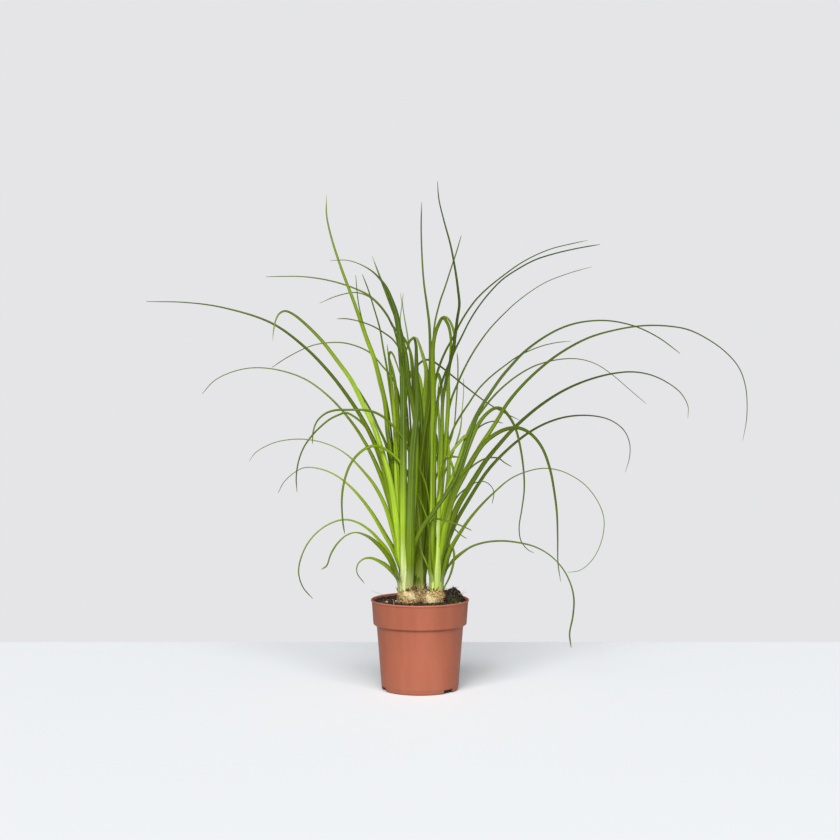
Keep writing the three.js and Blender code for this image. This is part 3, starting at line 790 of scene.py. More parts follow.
@dataclass(frozen=True)
class LeafSkin:
    """A leaf's skin: its own colour from root to tip, fine ribs along it, a paler middle channel and edges
    darkened, partly its own darker margin and partly painted shade where the leaves overlap.
    """

    rib_pitch: float = 0.00085
    rib_depth: float = 0.00008
    channel: float = 0.0005
    pale: Colour = linear(196, 220, 120)
    # painted shade at the blade's edges, partly the leaf's own darker margin
    edge_shade: float = 0.62
    streak_scale: Triple = (520.0, 9.0, 1.0)
    scatter: Triple = (0.8, 1.0, 0.15)
    roughness: Pair = (0.36, 0.52)

    def make(self, effects: Effects) -> Material:
        """Builds the material.

        Args:
            effects: the shared effects.

        Returns:
            The material.
        """
        s = Surface("leaf_skin", Specular_IOR_Level=0.12, Subsurface_Weight=0.2, Subsurface_Scale=0.0015)
        s.shader.inputs["Subsurface Radius"].default_value = self.scatter
        place = s.place()
        blade = s.add("ShaderNodeUVMap", uv_map="blade").outputs[0]
        across = s.part(blade, 0)
        streaks = s.noise(s.stretched(blade, self.streak_scale), 1.0)
        ribs = s.use(effects.ribs, across, self.rib_pitch, s.maths("MULTIPLY", streaks, 1.4))
        shade = s.spread(streaks, (0.32, 0.68), (0.68, 1.26))
        shade = s.maths("MULTIPLY", shade, s.spread(ribs, (0.0, 1.0), (0.93, 1.05)))
        # painted shade: the blade darkens towards its edges, where overlapping leaves shade each other,
        # partly its own darker margin
        edge_shade_mask = s.spread(s.read("leaf_colour", "Alpha"), (0.7, 1.0), (1.0, self.edge_shade))
        shade = s.maths("MULTIPLY", shade, edge_shade_mask)
        shade = s.maths("MULTIPLY", shade, s.use(effects.mottle, place, 28.0, 0.9, 1.08))
        base = s.scaled(s.read("leaf_colour", "Color"), shade)
        middle = s.spread(s.maths("ABSOLUTE", across), (0.0, self.channel), (0.16, 0.0))
        base = s.blend(middle, base, self.pale)
        rough = s.use(effects.mottle, place, 220.0, *self.roughness)
        bump = s.add("ShaderNodeBump", {"Height": ribs, "Distance": self.rib_depth, "Strength": 0.7})
        return s.feed(Base_Color=base, Roughness=rough, Normal=bump.outputs[0])


# ---------------------------------------------------------------- leaf routes
VIEW_DISTANCE = 2450.0
VIEW_HEIGHT = 461.0
CURVE_STEPS = 14  # from each point of a route to the next


def between(values: Triple, along: float) -> float:
    """Gives a value that runs smoothly through three: at the root, half way and at the tip.

    Args:
        values: the three values.
        along: the place, from 0 at the root to 1 at the tip.

    Returns:
        The value there.
    """
    root, middle, tip = values
    bend = 2 * (root + tip - 2 * middle)
    return root + (tip - root - bend) * along + bend * along * along


def stepped(values: Sequence[float], along: float) -> float:
    """Gives a value that runs straight from each of several to the next.

    Args:
        values: the values, evenly spaced.
        along: the place, from 0 at the first to 1 at the last.

    Returns:
        The value there.
    """
    place = along * (len(values) - 1)
    step = min(int(place), len(values) - 2)
    return values[step] + (values[step + 1] - values[step]) * (place - step)


def eased(share: float) -> float:
    """Runs from 0 to 1 with a soft start and end, and holds at both."""
    held = min(max(share, 0.0), 1.0)
    return held * held * (3 - 2 * held)


def curve_through(points: Sequence[Vector]) -> list[Vector]:
    """Runs a centripetal curve through points, as a bent blade of grass does.

    Args:
        points: the points that it passes.

    Returns:
        The points of the curve.
    """
    row = [points[0] * 2 - points[1], *points, points[-1] * 2 - points[-2]]
    curve: list[Vector] = []
    for p0, p1, p2, p3 in zip(row, row[1:], row[2:], row[3:]):
        d0, d1, d2 = (math.sqrt((b - a).length) for a, b in ((p0, p1), (p1, p2), (p2, p3)))
        start_way = ((p1 - p0) / d0 - (p2 - p0) / (d0 + d1) + (p2 - p1) / d1) * d1
        end_way = ((p2 - p1) / d1 - (p3 - p1) / (d1 + d2) + (p3 - p2) / d2) * d1
        second = p2 * 3 - p1 * 3 - start_way * 2 - end_way
        third = p1 * 2 - p2 * 2 + start_way + end_way
        for step in range(CURVE_STEPS):
            t = step / CURVE_STEPS
            curve.append(p1 + start_way * t + second * t**2 + third * t**3)
    curve.append(points[-1])
    return curve


@dataclass(frozen=True)
class Leaf:
    """One strap leaf.

    width is how wide it is at even steps from root to tip, depth how far back it lies at the root, half way
    and at the tip, and turn how many degrees its blade is turned out of the elevation at both ends. low and
    high are its colours low down and higher up. route says for each point in turn how far it is across and
    how far up. The points are read on the upright plane through the pot's axis, as they look from
    VIEW_DISTANCE in front of it and VIEW_HEIGHT up, and depth moves them off it along the line of sight.
    pale is how far up and how strongly its foot is blanched, turning is where it starts to take its upper
    colour and over what length, and face is the bearing of its foot, in degrees, if that is given.
    """

    width: tuple[float, ...]
    depth: Triple
    turn: Pair
    low: Tone
    high: Tone
    route: tuple[float, ...]
    pale: Pair = (9.0, 0.6)
    turning: Pair = (100.0, 190.0)
    face: float | None = None

    def path(self) -> list[Vector]:
        """Works out the leaf's middle line in space.

        Returns:
            The points, in millimetres, from root to tip.
        """
        points = []
        pairs = list(zip(self.route[::2], self.route[1::2]))
        for index, (across, up) in enumerate(pairs):
            y = between(self.depth, index / (len(pairs) - 1))
            nearer = (VIEW_DISTANCE + y) / VIEW_DISTANCE
            points.append(Vector((across * nearer, y, VIEW_HEIGHT + (up - VIEW_HEIGHT) * nearer)))
        return curve_through(points)


LEFT_LEAVES: tuple[Leaf, ...] = (
    # long and low to the left
    Leaf((8, 7.6, 5.4, 4, 2.6, 1), (1, -20, -50), (10, 68), GRASS, DEEP, (
        -20, 128, -22, 150, -26, 185, -33, 225, -41, 260, -53, 297, -68, 328, -85, 355, -110, 388, -140, 419,
        -180, 448, -240, 467, -285, 473, -332, 474,
    )),
    Leaf((9, 7, 6, 5.2, 3.4, 0.8), (-1, -42, -95), (0, 15), LIME, OLIVE, (
        -21, 128, -23, 160, -28, 200, -32.6, 235, -38.4, 265, -46, 291, -55.8, 321, -68.8, 348.5,
        -83.6, 378.5, -98.6, 399.6, -118.8, 426, -139, 446.6, -154.6, 459, -164, 462.4, -171, 459,
        -175.5, 450, -178, 437, -179, 426,
    ), turning=(215, 150)),
    Leaf((7, 6.4, 5.4, 4, 2.8, 1.2), (3, 30, 60), (40, 60), GRASS, OLIVE, (
        -19, 128, -22, 160, -27, 210, -33, 260, -41, 300, -50, 320, -60, 342, -75, 367, -92, 392, -115, 420,
    )),
    Leaf((8.5, 7.4, 4.4, 2.2, 1.3, 0.9), (4, 38, 95), (15, 60), GRASS, OLIVE, (
        -22, 128, -24, 160, -28, 195, -33, 217, -42, 247, -55, 280, -70, 308, -85, 330, -110, 358, -140, 380,
        -175, 391.5, -205, 393.5, -230, 388, -250, 378, -265, 362,
    )),
    Leaf((7, 4.4, 3, 2.2, 1.5, 0.9), (5, 50, 150), (40, 60), GRASS, OLIVE, (
        -14, 128, -15, 200, -18, 280, -22, 330, -27, 366, -35, 383, -45, 395, -60, 411.5, -80, 421,
        -100, 424.5, -130, 421, -160, 407, -180, 394,
    )),
    # tall to the left
    Leaf((7, 6.4, 6, 5.3, 3, 1.1), (-2, -20, -40), (45, 0), OLIVE, GRASS, (
        -20, 128, -22, 170, -26, 220, -30, 255, -35, 290, -39, 315, -41, 340, -43, 355, -48, 375, -55, 403,
        -65, 430, -80, 473, -95, 513, -107, 550, -113, 578, -113, 604,
    )),
    Leaf((6, 4.4, 3.4, 3, 2.2, 0.9), (5, 30, 60), (60, 60), DEEP, OLIVE, (
        -20, 128, -26, 240, -33, 300, -38, 340, -45, 372, -53, 402, -64, 432, -71, 455, -75, 475, -78, 506,
    )),
    Leaf((7, 5, 4, 3.3, 2.1, 1), (5, 70, 190), (30, 60), OLIVE, DEEP, (
        -11.5, 128, -10, 200, -7, 270, -6, 320, -7.5, 352, -8, 386, -9.2, 403, -12.5, 416, -17.5, 427,
        -25, 436, -32, 443, -40, 458, -50, 471, -60, 480, -70, 486, -90, 494, -110, 499.5, -130, 503,
        -150, 504.5, -187, 504,
    )),
    Leaf((7, 5, 4.2, 3.2, 2.2, 0.8), (3, 35, 80), (40, 60), LIME, DEEP, (
        -17, 128, -19, 200, -21, 280, -22, 350, -23, 400, -28, 428, -33, 445, -40, 457, -50, 470, -62, 480,
        -78, 485, -100, 481, -122, 472,
    )),
    Leaf((6.4, 6.6, 8, 8.3, 8.3, 8.2, 7.8, 6.8, 2.4, 0.8, 0.6), (-11, -50, -150), (0, 40), LIME, GREY, (
        -20.4, 128, -20.4, 200, -20, 300, -20.5, 380, -22, 405, -24.5, 432, -28, 455, -34, 474, -41, 491,
        -50, 503, -60, 512, -75, 520, -90, 524, -109, 523.5,
    ), (28, 0.72), (80, 110), -119),
    Leaf((8, 7, 6.6, 6.6, 6.4, 4.6, 0.8), (5, 20, 40), (15, 45), GRASS, DEEP, (
        -11.5, 128, -9, 200, -5, 262, -4, 299, -5, 325, -7.8, 345, -10, 358, -13.4, 374, -15, 392, -17, 408,
        -20, 422, -24, 440, -29, 455, -37, 475, -45, 495, -52, 513, -58, 529,
    )),
    Leaf((7, 5.4, 4.4, 3.4, 2, 1.2), (-3, -35, -90), (45, 50), GRASS, OLIVE, (
        -18, 128, -21.4, 200, -27, 280, -33, 340, -40.4, 395, -45, 420, -48, 438, -51, 450, -57, 470,
        -63, 489, -70, 507,
    )),
    Leaf((6, 4.4, 3, 2.2, 1.6, 0.8), (3, -40, -200), (45, 68), OLIVE, OLIVE, (
        -13, 128, -13, 200, -13, 290, -14.8, 335, -17.5, 360, -19.5, 393, -24, 414, -32, 427, -42, 435,
        -55, 443, -70, 449, -88, 453, -101, 453,
    )),
    # upright in the middle of the tuft, two of them folded over near the tip
    Leaf((11.5, 11.5, 10.5, 9.6, 8.6, 3.6), (-10.5, -24, -42), (0, 70), OLIVE, GREY, (
        -11.5, 128, -11.8, 165, -11.5, 200, -10.7, 232, -9.4, 262, -8, 290, -5.8, 314, -3.6, 335, -2.5, 354,
        -3.6, 380, -3.9, 405, -4.6, 422, -7, 429.5, -11.5, 427.5, -15, 420, -19, 408,
    ), (10, 0.6), (25, 75), -58),
    Leaf((8.5, 6.6, 5.6, 5.2, 4.6, 1.4), (-3, -25, -50), (10, 60), LIME, GRASS, (
        -22, 128, -25, 170, -27, 220, -29, 270, -30, 310, -31, 340, -34, 370, -36.5, 395, -37.5, 408,
        -35.8, 412.5, -32.5, 409, -29, 400, -26, 391, -24, 384,
    )),
    Leaf((8, 7, 6.6, 6.4, 5, 1.2), (2, 14, 30), (10, 40), LIME, GRASS, (
        -22, 128, -23, 200, -25, 260, -26.5, 300, -27, 335, -29, 365, -33, 390, -38, 408, -40, 422,
    )),
    # arched over to the left, lower down
    Leaf((9, 7.2, 4.6, 1.2, 1, 0.5), (-2, -20, -60), (30, 50), GRASS, OLIVE, (
        -22, 128, -25, 150, -27.8, 176, -34, 200.5, -42.2, 225.5, -55, 250, -70, 269, -85, 284.5, -100, 295,
        -120, 303, -140, 306.5, -160, 306, -180, 301.5, -200, 290.5, -208, 280,
    )),
    Leaf((9, 6.8, 4.6, 2, 1, 0.6), (4, 35, 85), (35, 50), GRASS, OLIVE, (
        -22, 128, -25.5, 145, -29, 165, -43, 191, -60, 219, -80, 244, -100, 261, -120, 270, -140, 272,
        -153, 266, -166, 254, -173, 241,
    )),
    Leaf((8, 5.4, 4.2, 3.5, 3.1, 1.6), (8, -38, -170), (40, 60), GRASS, OLIVE, (
        -12, 128, -11, 170, -10, 215, -11, 245, -15, 266, -25, 280, -38, 292, -52, 298.5, -64, 296.5,
        -76, 288, -86, 274, -93, 253, -95.5, 232, -94.5, 208, -92, 191,
    )),
    Leaf((8.5, 5.6, 4.4, 3.2, 2.7, 1.8), (2, 22, 50), (35, 60), GRASS, OLIVE, (
        -17, 128, -20, 170, -26, 215, -34, 250, -45, 280, -57, 308, -68, 324, -78, 333, -90, 339, -100, 336,
        -110, 331, -120, 323, -130, 313, -141, 298, -148, 280, -151, 260, -150, 242,
    )),
    Leaf((6, 4.6, 3.8, 3.2, 2.2, 1.2), (8, -55, -220), (45, 62), GRASS, OLIVE, (
        -11.5, 128, -9, 200, -9, 255, -12, 288, -20, 307, -30, 320, -42, 332, -55, 339.5, -70, 342.5,
        -88, 342.5, -103, 342, -115, 338, -125, 329, -130, 316, -131, 301,
    )),
    Leaf((8, 6, 2.9, 1.9, 2.3, 1.8), (-2, -30, -70), (50, 60), GRASS, OLIVE, (
        -22, 128, -28, 140, -31, 153, -40, 172, -50, 184, -60, 194.5, -75, 204.5, -90, 208.5, -104, 206,
        -120, 197.5, -135, 182.5, -145, 163, -148.5, 143, -143, 125, -131, 111,
    )),
    Leaf((8.5, 6.6, 5, 1.3, 2.4, 1.4), (-3.5, -60, -125), (20, 60), OLIVE, DEEP, (
        -22, 128, -27, 136, -31, 148, -36, 159, -45, 171.5, -55, 181.5, -65, 188.5, -78, 192.5, -90, 189,
        -101, 179, -109, 166, -114, 152, -121, 147,
    ), (12, 0.75), face=-146),
    Leaf((9, 7, 3.9, 2, 1.3, 1), (2, 30, 66), (10, 60), GRASS, OLIVE, (
        -24, 128, -28.4, 135, -33, 142.6, -40, 151, -50, 157.5, -60, 161.2, -69, 160, -76, 153.5, -77, 143,
        -68, 130,
    ), face=-163),
    # the dark one that leans across in front to the right
    Leaf((6.4, 5.6, 5.4, 3.8, 2.3, 1.4), (8, -62, -135), (10, 68), OLIVE, GREY, (
        -9.4, 130, -9.6, 150, -8, 170, -2.6, 186, 5, 201, 13, 212, 22, 225, 35, 244, 45, 262, 53, 285,
        59, 305, 66, 325, 74, 344, 86, 363, 100, 383, 112, 397, 125, 411, 150, 430, 175, 443, 200, 449.5,
        230, 450.5, 262, 443.5, 290, 430, 316, 411,
    ), (6, 0.4), (40, 90), -10),
)

BACK_LEAVES: tuple[Leaf, ...] = (
    Leaf((7.5, 7.5, 7.2, 4, 2.3, 1.6), (21.5, 34, 70), (0, 50), OLIVE, DEEP, (
        1, 128, 0.5, 180, 0, 240, 0, 268, 1.6, 284, 3.4, 299, 5.4, 314, 8, 328, 10.7, 345, 12.4, 362,
        12.6, 385, 12.6, 415, 11.5, 445, 8.5, 470, 5, 495, 3, 520, 1.5, 560, 2, 594,
    )),
    Leaf((7, 5, 4, 2.9, 1.6, 1), (25, 80, 220), (40, 62), OLIVE, DEEP, (
        4, 128, 5, 200, 8, 280, 12, 340, 17, 372, 22, 390, 27, 404, 33, 417, 41, 431, 46, 442, 55, 458,
        68, 476, 82, 490, 100, 504.5, 120, 519, 140, 530, 160, 538, 180, 543, 203, 548,
    )),
    Leaf((6, 4.4, 3.4, 3.1, 2.4, 1.1), (25, 85, 190), (40, 62), OLIVE, OLIVE, (
        -2, 128, -3, 250, -6, 335, -7, 375, -4, 394, 4, 402, 13, 402.5, 25, 395, 40, 383, 60, 367, 80, 352,
        100, 340, 121, 330,
    )),
    Leaf((6, 4.4, 3.2, 2.4, 1.9, 0.7), (24, 130, 250), (30, 62), OLIVE, OLIVE, (
        3, 128, 6, 200, 12, 260, 23, 288, 35, 305, 42, 322, 50, 336, 60, 351, 70, 366, 80, 377, 90, 386,
        103, 396, 120, 408, 145, 419, 165, 424, 183, 426,
    )),
    Leaf((5, 3.4, 2.2, 1.6, 1.9, 1.3), (23, 60, 130), (40, 50), OLIVE, GREY, (
        4.8, 128, 11, 200, 20, 260, 30, 288, 38, 307, 42, 325, 44, 350, 46, 380, 46, 400, 45, 412,
    )),
    Leaf((5, 3.2, 2.4, 2.4, 1, 0.7), (26, 120, 240), (40, 50), OLIVE, PALE, (
        4.8, 128, 14, 200, 28, 258, 41, 292, 49, 318, 51, 340, 53, 362, 53, 381,
    )),
    Leaf((5, 3.4, 2.8, 2.2, 1.2, 0.5), (27, 120, 260), (30, 55), OLIVE, GREY, (
        -3, 128, -5, 250, -8, 350, -11, 400, -15, 432, -19, 455, -21, 470, -20.5, 484,
    )),
    Leaf((5, 3.4, 2.8, 2, 1, 0.5), (27, 95, 200), (30, 55), OLIVE, GREY, (
        -4, 128, -8, 250, -13, 350, -18, 400, -22, 430, -24, 453, -22, 470, -24, 485,
    )),
    Leaf((7, 6.4, 6.4, 8.4, 9, 6, 2), (25, 38, 52), (0, 35), GRASS, LIME, (
        3, 128, 3, 200, 4, 270, 5, 320, 6, 350, 7.8, 373, 7.8, 391, 4.4, 405.5, 1.5, 415, -1.4, 423.8,
        -4.2, 430, -9, 431.5,
    )),
    # arched over to the back
    Leaf((7.5, 7, 6.4, 5.6, 4, 1.4), (27, 115, 230), (0, 20), OLIVE, GRASS, (
        1, 128, 2, 220, 4, 300, 3, 350, -1, 380, -7, 390, -13, 383, -17, 360, -19, 320, -20, 285,
    )),
    Leaf((7, 6, 5.4, 5, 3.6, 1.3), (27, 150, 300), (0, 20), OLIVE, OLIVE, (
        -2, 128, -5, 200, -9, 265, -14, 310, -18, 330, -22, 330, -24, 305, -25, 260, -26, 210,
    )),
    Leaf((6, 5.4, 4.8, 4.2, 3, 1.2), (27, 120, 260), (0, 25), GRASS, GRASS, (
        4, 128, 7, 220, 11, 300, 15, 350, 18.5, 378, 21.5, 386, 25, 377, 27, 350, 28, 310, 28, 262,
    )),
    Leaf((6, 5, 4, 3.6, 2.6, 1.2), (27, 140, 280), (10, 25), OLIVE, OLIVE, (
        2, 128, 5, 190, 9, 250, 13, 292, 17, 312, 20, 308, 22, 282, 23, 240, 24, 190,
    )),
    # upright and shaded, close behind the other two tufts
    Leaf((7.5, 7.6, 7.4, 6.6, 5, 2), (20.5, 27, 40), (0, 20), OLIVE, DEEP, (
        -3, 128, -3, 180, -2, 230, 0.3, 272, 1.8, 300, 1.6, 330, 0.6, 352, -2, 374, -4.2, 392,
    ), face=-115),
    Leaf((7.5, 7, 6, 5, 4, 2), (23, 24, 30), (0, 25), OLIVE, DEEP, (
        -6, 128, -6, 190, -4.6, 240, -2.6, 280, -3, 320, -4, 345, -4, 370,
    ), face=-165),
    Leaf((7.5, 7.4, 7, 6, 4.6, 2), (22, 30, 44), (5, 25), OLIVE, OLIVE, (
        5, 128, 8, 155, 9.8, 185, 10.8, 215, 12.2, 252, 14.5, 292, 17, 325, 18, 352,
    ), face=-20),
    Leaf((6.5, 6, 5, 4, 3, 1.2), (20.8, 24, 30), (20, 45), OLIVE, OLIVE, (
        0.5, 128, 2.5, 160, 5, 190, 7.4, 220, 8.2, 246, 7, 272, 6, 290, 6.2, 312,
    ), face=-78),
    Leaf((5.5, 4.6, 3.8, 3, 2.2, 1), (20.2, 21, 25), (35, 50), PALE, OLIVE, (
        3.6, 128, 3.2, 150, 1.6, 176, -0.6, 204, -3, 228, -6, 250, -9, 266,
    ), face=-50),
    Leaf((5, 4.2, 3.4, 2.6, 2, 1), (21.4, 23, 28), (35, 55), OLIVE, GRASS, (
        6, 128, 7.6, 144, 9.8, 160, 11.4, 180, 12.6, 202, 13.6, 236,
    ), face=-5),
    Leaf((6, 5, 4, 3, 2.2, 1), (24, 28, 36), (20, 40), DEEP, DEEP, (
        -4.6, 128, -5.6, 160, -5.4, 200, -6.2, 232, -8, 262, -9.4, 290, -8.6, 318,
    )),
)

RIGHT_LEAVES: tuple[Leaf, ...] = (
    # upright, the first two folded over at the top
    Leaf((9, 7.6, 7.2, 7.4, 6.4, 4.6, 2.2), (1, -12, -24), (0, 50), LIME, OLIVE, (
        14.8, 128, 15.2, 160, 15.8, 200, 16.5, 240, 16.8, 290, 16.8, 340, 16.6, 375, 15.8, 400, 16, 418,
        18, 432, 22, 444.4, 27.8, 454, 33.6, 446.6, 36.8, 434, 37.4, 423, 36.8, 412, 36, 400, 35, 388,
    ), face=-135),
    Leaf((8, 5.4, 4.8, 5.2, 5.4, 4, 1.4), (-1, 14, 30), (10, 40), GRASS, OLIVE, (
        22.5, 128, 24, 200, 28, 260, 32.4, 315, 34.6, 352, 34.4, 382, 36, 397, 39.2, 409, 41.6, 420,
        42.3, 428, 41.6, 436, 37.6, 448, 33.4, 454, 29.4, 455.6, 25, 453, 21.5, 446, 19, 436,
    )),
    Leaf((8, 6, 5, 4.6, 3, 1), (-2, -40, -100), (30, 55), LIME, DEEP, (
        23.4, 128, 24, 200, 26, 270, 27, 320, 28, 352, 31, 372, 35, 392, 39, 409, 42, 425, 44, 440,
        45.5, 453, 48, 470, 46.5, 487, 43, 512, 37, 543, 29, 572, 23, 597, 21, 619,
    )),
    Leaf((6, 4, 3, 2.6, 2.2, 1.4), (4, 12, 20), (20, 50), GRASS, OLIVE, (
        15, 128, 16, 200, 16, 280, 16.6, 340, 16.8, 380, 16.4, 415, 16.6, 434, 17.9, 446, 19.3, 454, 22, 465,
        25, 476, 30, 490, 38, 515, 44, 533, 50, 554,
    )),
    Leaf((7, 5, 4, 2, 1.8, 1.2), (-2, -70, -210), (30, 62), GRASS, DEEP, (
        17, 128, 17, 200, 18, 280, 19, 325, 22, 355, 26, 373, 32, 390, 38, 404, 44, 418, 51, 432, 60, 450,
        70, 466, 83, 483, 100, 500.5, 120, 514, 140, 524.5, 160, 531, 180, 536, 200, 540, 218, 543,
    )),
    Leaf((6, 4.4, 3.6, 2.5, 1, 0.5), (4, 45, 120), (40, 60), GRASS, OLIVE, (
        20, 128, 23, 200, 28, 280, 34, 335, 39, 357, 45, 372, 51, 386, 60, 404, 71, 422, 85, 441, 100, 457,
        120, 475.5, 150, 496, 180, 508, 208, 516,
    )),
    # long reaches to the right
    Leaf((7, 5, 3.4, 2, 0.8, 0.5), (4, 80, 210), (30, 62), GRASS, OLIVE, (
        23.4, 128, 27, 180, 35, 235, 45, 272, 55, 303, 65, 326, 77, 343, 88, 357, 102, 371, 120, 385,
        140, 396, 165, 403, 190, 404.5, 212, 399, 232, 386.5, 255, 367, 275, 350,
    )),
    Leaf((9, 7, 4, 2.3, 1.5, 0.6), (-3.5, 12, 30), (10, 60), GRASS, DEEP, (
        23, 128, 27, 170, 33, 210, 42, 240, 52, 262, 65, 282, 75, 300, 85, 315, 95, 331, 105, 348, 120, 367,
        142, 389, 170, 411, 205, 430, 240, 440, 270, 444.5, 297, 444.5, 325, 440, 350, 428, 372, 412,
        388, 393, 396, 370, 398, 345, 397, 327, 393, 305,
    )),
    Leaf((9, 8.8, 7, 3.5, 1.9, 0.9), (2, 25, 70), (30, 50), LIME, OLIVE, (
        23.4, 128, 28, 165, 33, 205, 40, 238, 48, 262, 55, 285, 62, 304, 70, 322, 80, 336, 91, 344,
        99, 343.5, 107, 336, 116, 320, 122, 297, 126, 270, 127, 245, 124, 220, 121, 200, 123, 183, 131, 172,
        139, 167.5,
    )),
    Leaf((9, 9, 7.4, 4, 2.6, 0.9), (-3, -50, -120), (30, 50), GRASS, DEEP, (
        23.4, 128, 27, 165, 32, 200, 42, 238, 54, 262, 66, 284, 77, 300, 90, 311, 105, 318.5, 120, 320,
        134, 313.5, 148, 297, 158, 271, 164, 240, 167, 215, 168, 185, 168.5, 155, 172, 132,
    )),
    Leaf((9, 8.8, 6.2, 3.9, 2.1, 0.5), (-1, -20, -50), (30, 58), OLIVE, DEEP, (
        23.4, 128, 29, 150, 32, 182, 39, 205, 48, 227, 57, 242, 68, 260, 80, 279, 97, 300, 112, 317,
        130, 334, 150, 350, 170, 363, 190, 373, 212, 381, 235, 386.5, 258, 388.5, 280, 385, 300, 376,
        317, 363, 326, 347, 326, 332,
    )),
    Leaf((8, 6.6, 5.2, 3.4, 1.4, 0.5), (3, 55, 130), (40, 58), OLIVE, DEEP, (
        23.4, 128, 29, 150, 33, 175, 39, 192, 47, 210, 58, 229, 72, 252, 83, 268, 98, 285, 120, 305,
        140, 319, 160, 328.5, 180, 334, 204, 335.5, 226, 332, 240, 325, 250, 315, 255.5, 300, 255, 283,
        250, 266,
    )),
    Leaf((9, 4.6, 1.6, 0.9, 0.8, 0.5), (-3, -40, -95), (30, 55), OLIVE, OLIVE, (
        23.4, 128, 28, 135, 31, 150, 38, 172, 50, 193, 60, 208, 75, 226, 90, 241, 110, 258, 130, 267,
        150, 271, 168, 269, 185, 262, 202, 250, 216, 232, 224, 212, 224, 193, 218, 172, 208, 156, 195, 146,
        180, 143.5,
    )),
    Leaf((9, 3, 2.4, 1.5, 2.4, 2.2), (1, 22, 50), (30, 55), OLIVE, OLIVE, (
        23.4, 128, 29, 135, 34, 148, 41, 158, 51, 167, 63, 175, 80, 180.3, 100, 182, 120, 180, 140, 175,
        158, 165, 173, 150, 183, 132, 188, 112, 187, 90, 183, 68, 185, 51,
    )),
    # short and thin ones
    Leaf((4.4, 3.4, 3.6, 3.8, 3.8, 2), (-3.5, -12, -16), (50, 60), OLIVE, DEEP, (
        23.4, 128, 25.5, 145, 28.5, 163, 33, 174, 38, 176, 41, 169, 41, 158, 39, 148, 35.5, 137, 31.5, 129,
        28.8, 123.6,
    )),
    Leaf((7.5, 6, 5, 5, 4.4, 2.4), (-2, -20, -38), (25, 35), GRASS, GRASS, (
        21, 128, 24, 180, 32, 225, 43, 262, 50, 288, 54.5, 303, 57, 310, 54, 309.5, 47, 302, 40, 293.5,
        36.5, 288, 38.5, 285.6, 44, 285, 49, 284.5,
    )),
    Leaf((5, 3.2, 3, 3, 3, 1.4), (3, -35, -110), (40, 60), GRASS, OLIVE, (
        17, 128, 19, 200, 24, 255, 30, 280, 35, 283, 39, 275, 41, 265, 41, 254,
    )),
    Leaf((5, 3.4, 3, 2.6, 2.1, 1), (4, 65, 150), (45, 60), GRASS, OLIVE, (
        22, 128, 26, 190, 36, 235, 47, 270, 57, 298, 68, 317, 78, 325, 90, 328.5, 101, 326,
    )),
    Leaf((5, 3.4, 2.8, 2.6, 1.8, 0.6), (6, -60, -170), (40, 60), GRASS, OLIVE, (
        22, 128, 25, 170, 32, 210, 42, 242, 51, 260, 60, 270, 70, 278, 82, 283.5, 95, 283.5, 103, 278,
        112, 273,
    )),
    Leaf((5, 3.4, 2.8, 2.4, 1, 0.8), (4, 45, 95), (40, 60), GRASS, OLIVE, (
        23.4, 128, 27, 160, 31, 195, 37, 220, 46, 237, 57, 247, 67, 253, 77, 255, 85, 251, 90, 242, 88, 228,
    )),
    Leaf((4.4, 3, 2.6, 2.4, 2, 1), (-3.5, -60, -180), (30, 60), OLIVE, PALE, (
        13.2, 128, 12.4, 160, 12, 188, 12.8, 201, 15.6, 207.6, 20, 209, 27, 208, 40, 204.5, 51, 200.5,
        63, 195,
    )),
    Leaf((4.4, 3, 2.4, 1.9, 1.3, 0.6), (4, 70, 150), (40, 60), OLIVE, DEEP, (
        21, 128, 26, 158, 31.5, 184, 36, 195, 40.5, 197.5, 45, 194, 50, 189.5, 57, 185,
    )),
    # leaning to the left across the back tuft, and one more upright
    Leaf((6, 4, 3, 2.6, 2.2, 1), (3.5, 8, 13), (40, 50), GRASS, OLIVE, (
        14, 128, 13.8, 165, 13.2, 200, 11.6, 228, 8, 248, 4, 260, 0, 270, -5, 282, -8.5, 292,
    )),
    Leaf((5, 3.4, 2.8, 2.4, 2, 1), (3, 7, 12), (40, 50), GRASS, GRASS, (
        13.2, 128, 13, 160, 11.8, 188, 9.2, 208, 5, 220, 0.6, 231, -3.4, 240, -8, 250,
    )),
    Leaf((5, 3.4, 2.6, 2.2, 1.8, 1), (2, 6, 11), (40, 55), GRASS, OLIVE, (
        13, 128, 11.6, 142, 8.2, 154, 4, 164, 0, 173, -3.4, 184, -6, 198,
    ), face=-165),
    Leaf((6.4, 4.8, 4.2, 4, 3.4, 1.4), (-10, -7, 4), (10, 35), LIME, GRASS, (
        21.6, 128, 22.6, 170, 23, 210, 23.4, 245, 24, 275, 24.4, 300, 23.4, 326, 22, 350, 22.6, 376,
    ), (46, 0.24), face=-76),
    Leaf((8, 7, 6.4, 5.4, 4, 1.4), (0, -12, -24), (10, 45), LIME, GRASS, (
        22.5, 128, 23.4, 165, 25, 200, 28, 220, 32.6, 240, 37, 252, 42.4, 267, 47, 280, 53.4, 300, 60, 318,
        68, 336, 76, 350, 84, 359,
    )),
    Leaf((8, 7, 6.4, 5, 3, 1.2), (2, 8, 16), (10, 30), LIME, GRASS, (
        24.6, 128, 25.6, 160, 28, 200, 32, 235, 35, 262, 34.6, 290, 33.4, 320, 33.6, 345, 33, 366,
    ), face=-35),
    Leaf((6, 5, 4, 3, 2.2, 1), (3, 8, 14), (0, 25), GRASS, OLIVE, (
        27, 128, 29.6, 138, 32.6, 150, 34.6, 164, 35.6, 180, 38, 198, 41, 212,
    ), face=-12),
)


# ---------------------------------------------------------------- the tufts
@dataclass(frozen=True)
class Crown:
    """Where one shoot stands: its bulb's middle and girth, and its leaf sheath's, in millimetres."""

    name: str
    bulb: Pair
    girth: float
    sheath: Pair
    sheath_girth: Pair
    leaves: tuple[Leaf, ...]
    seed: int
    blanching: float = 1.0


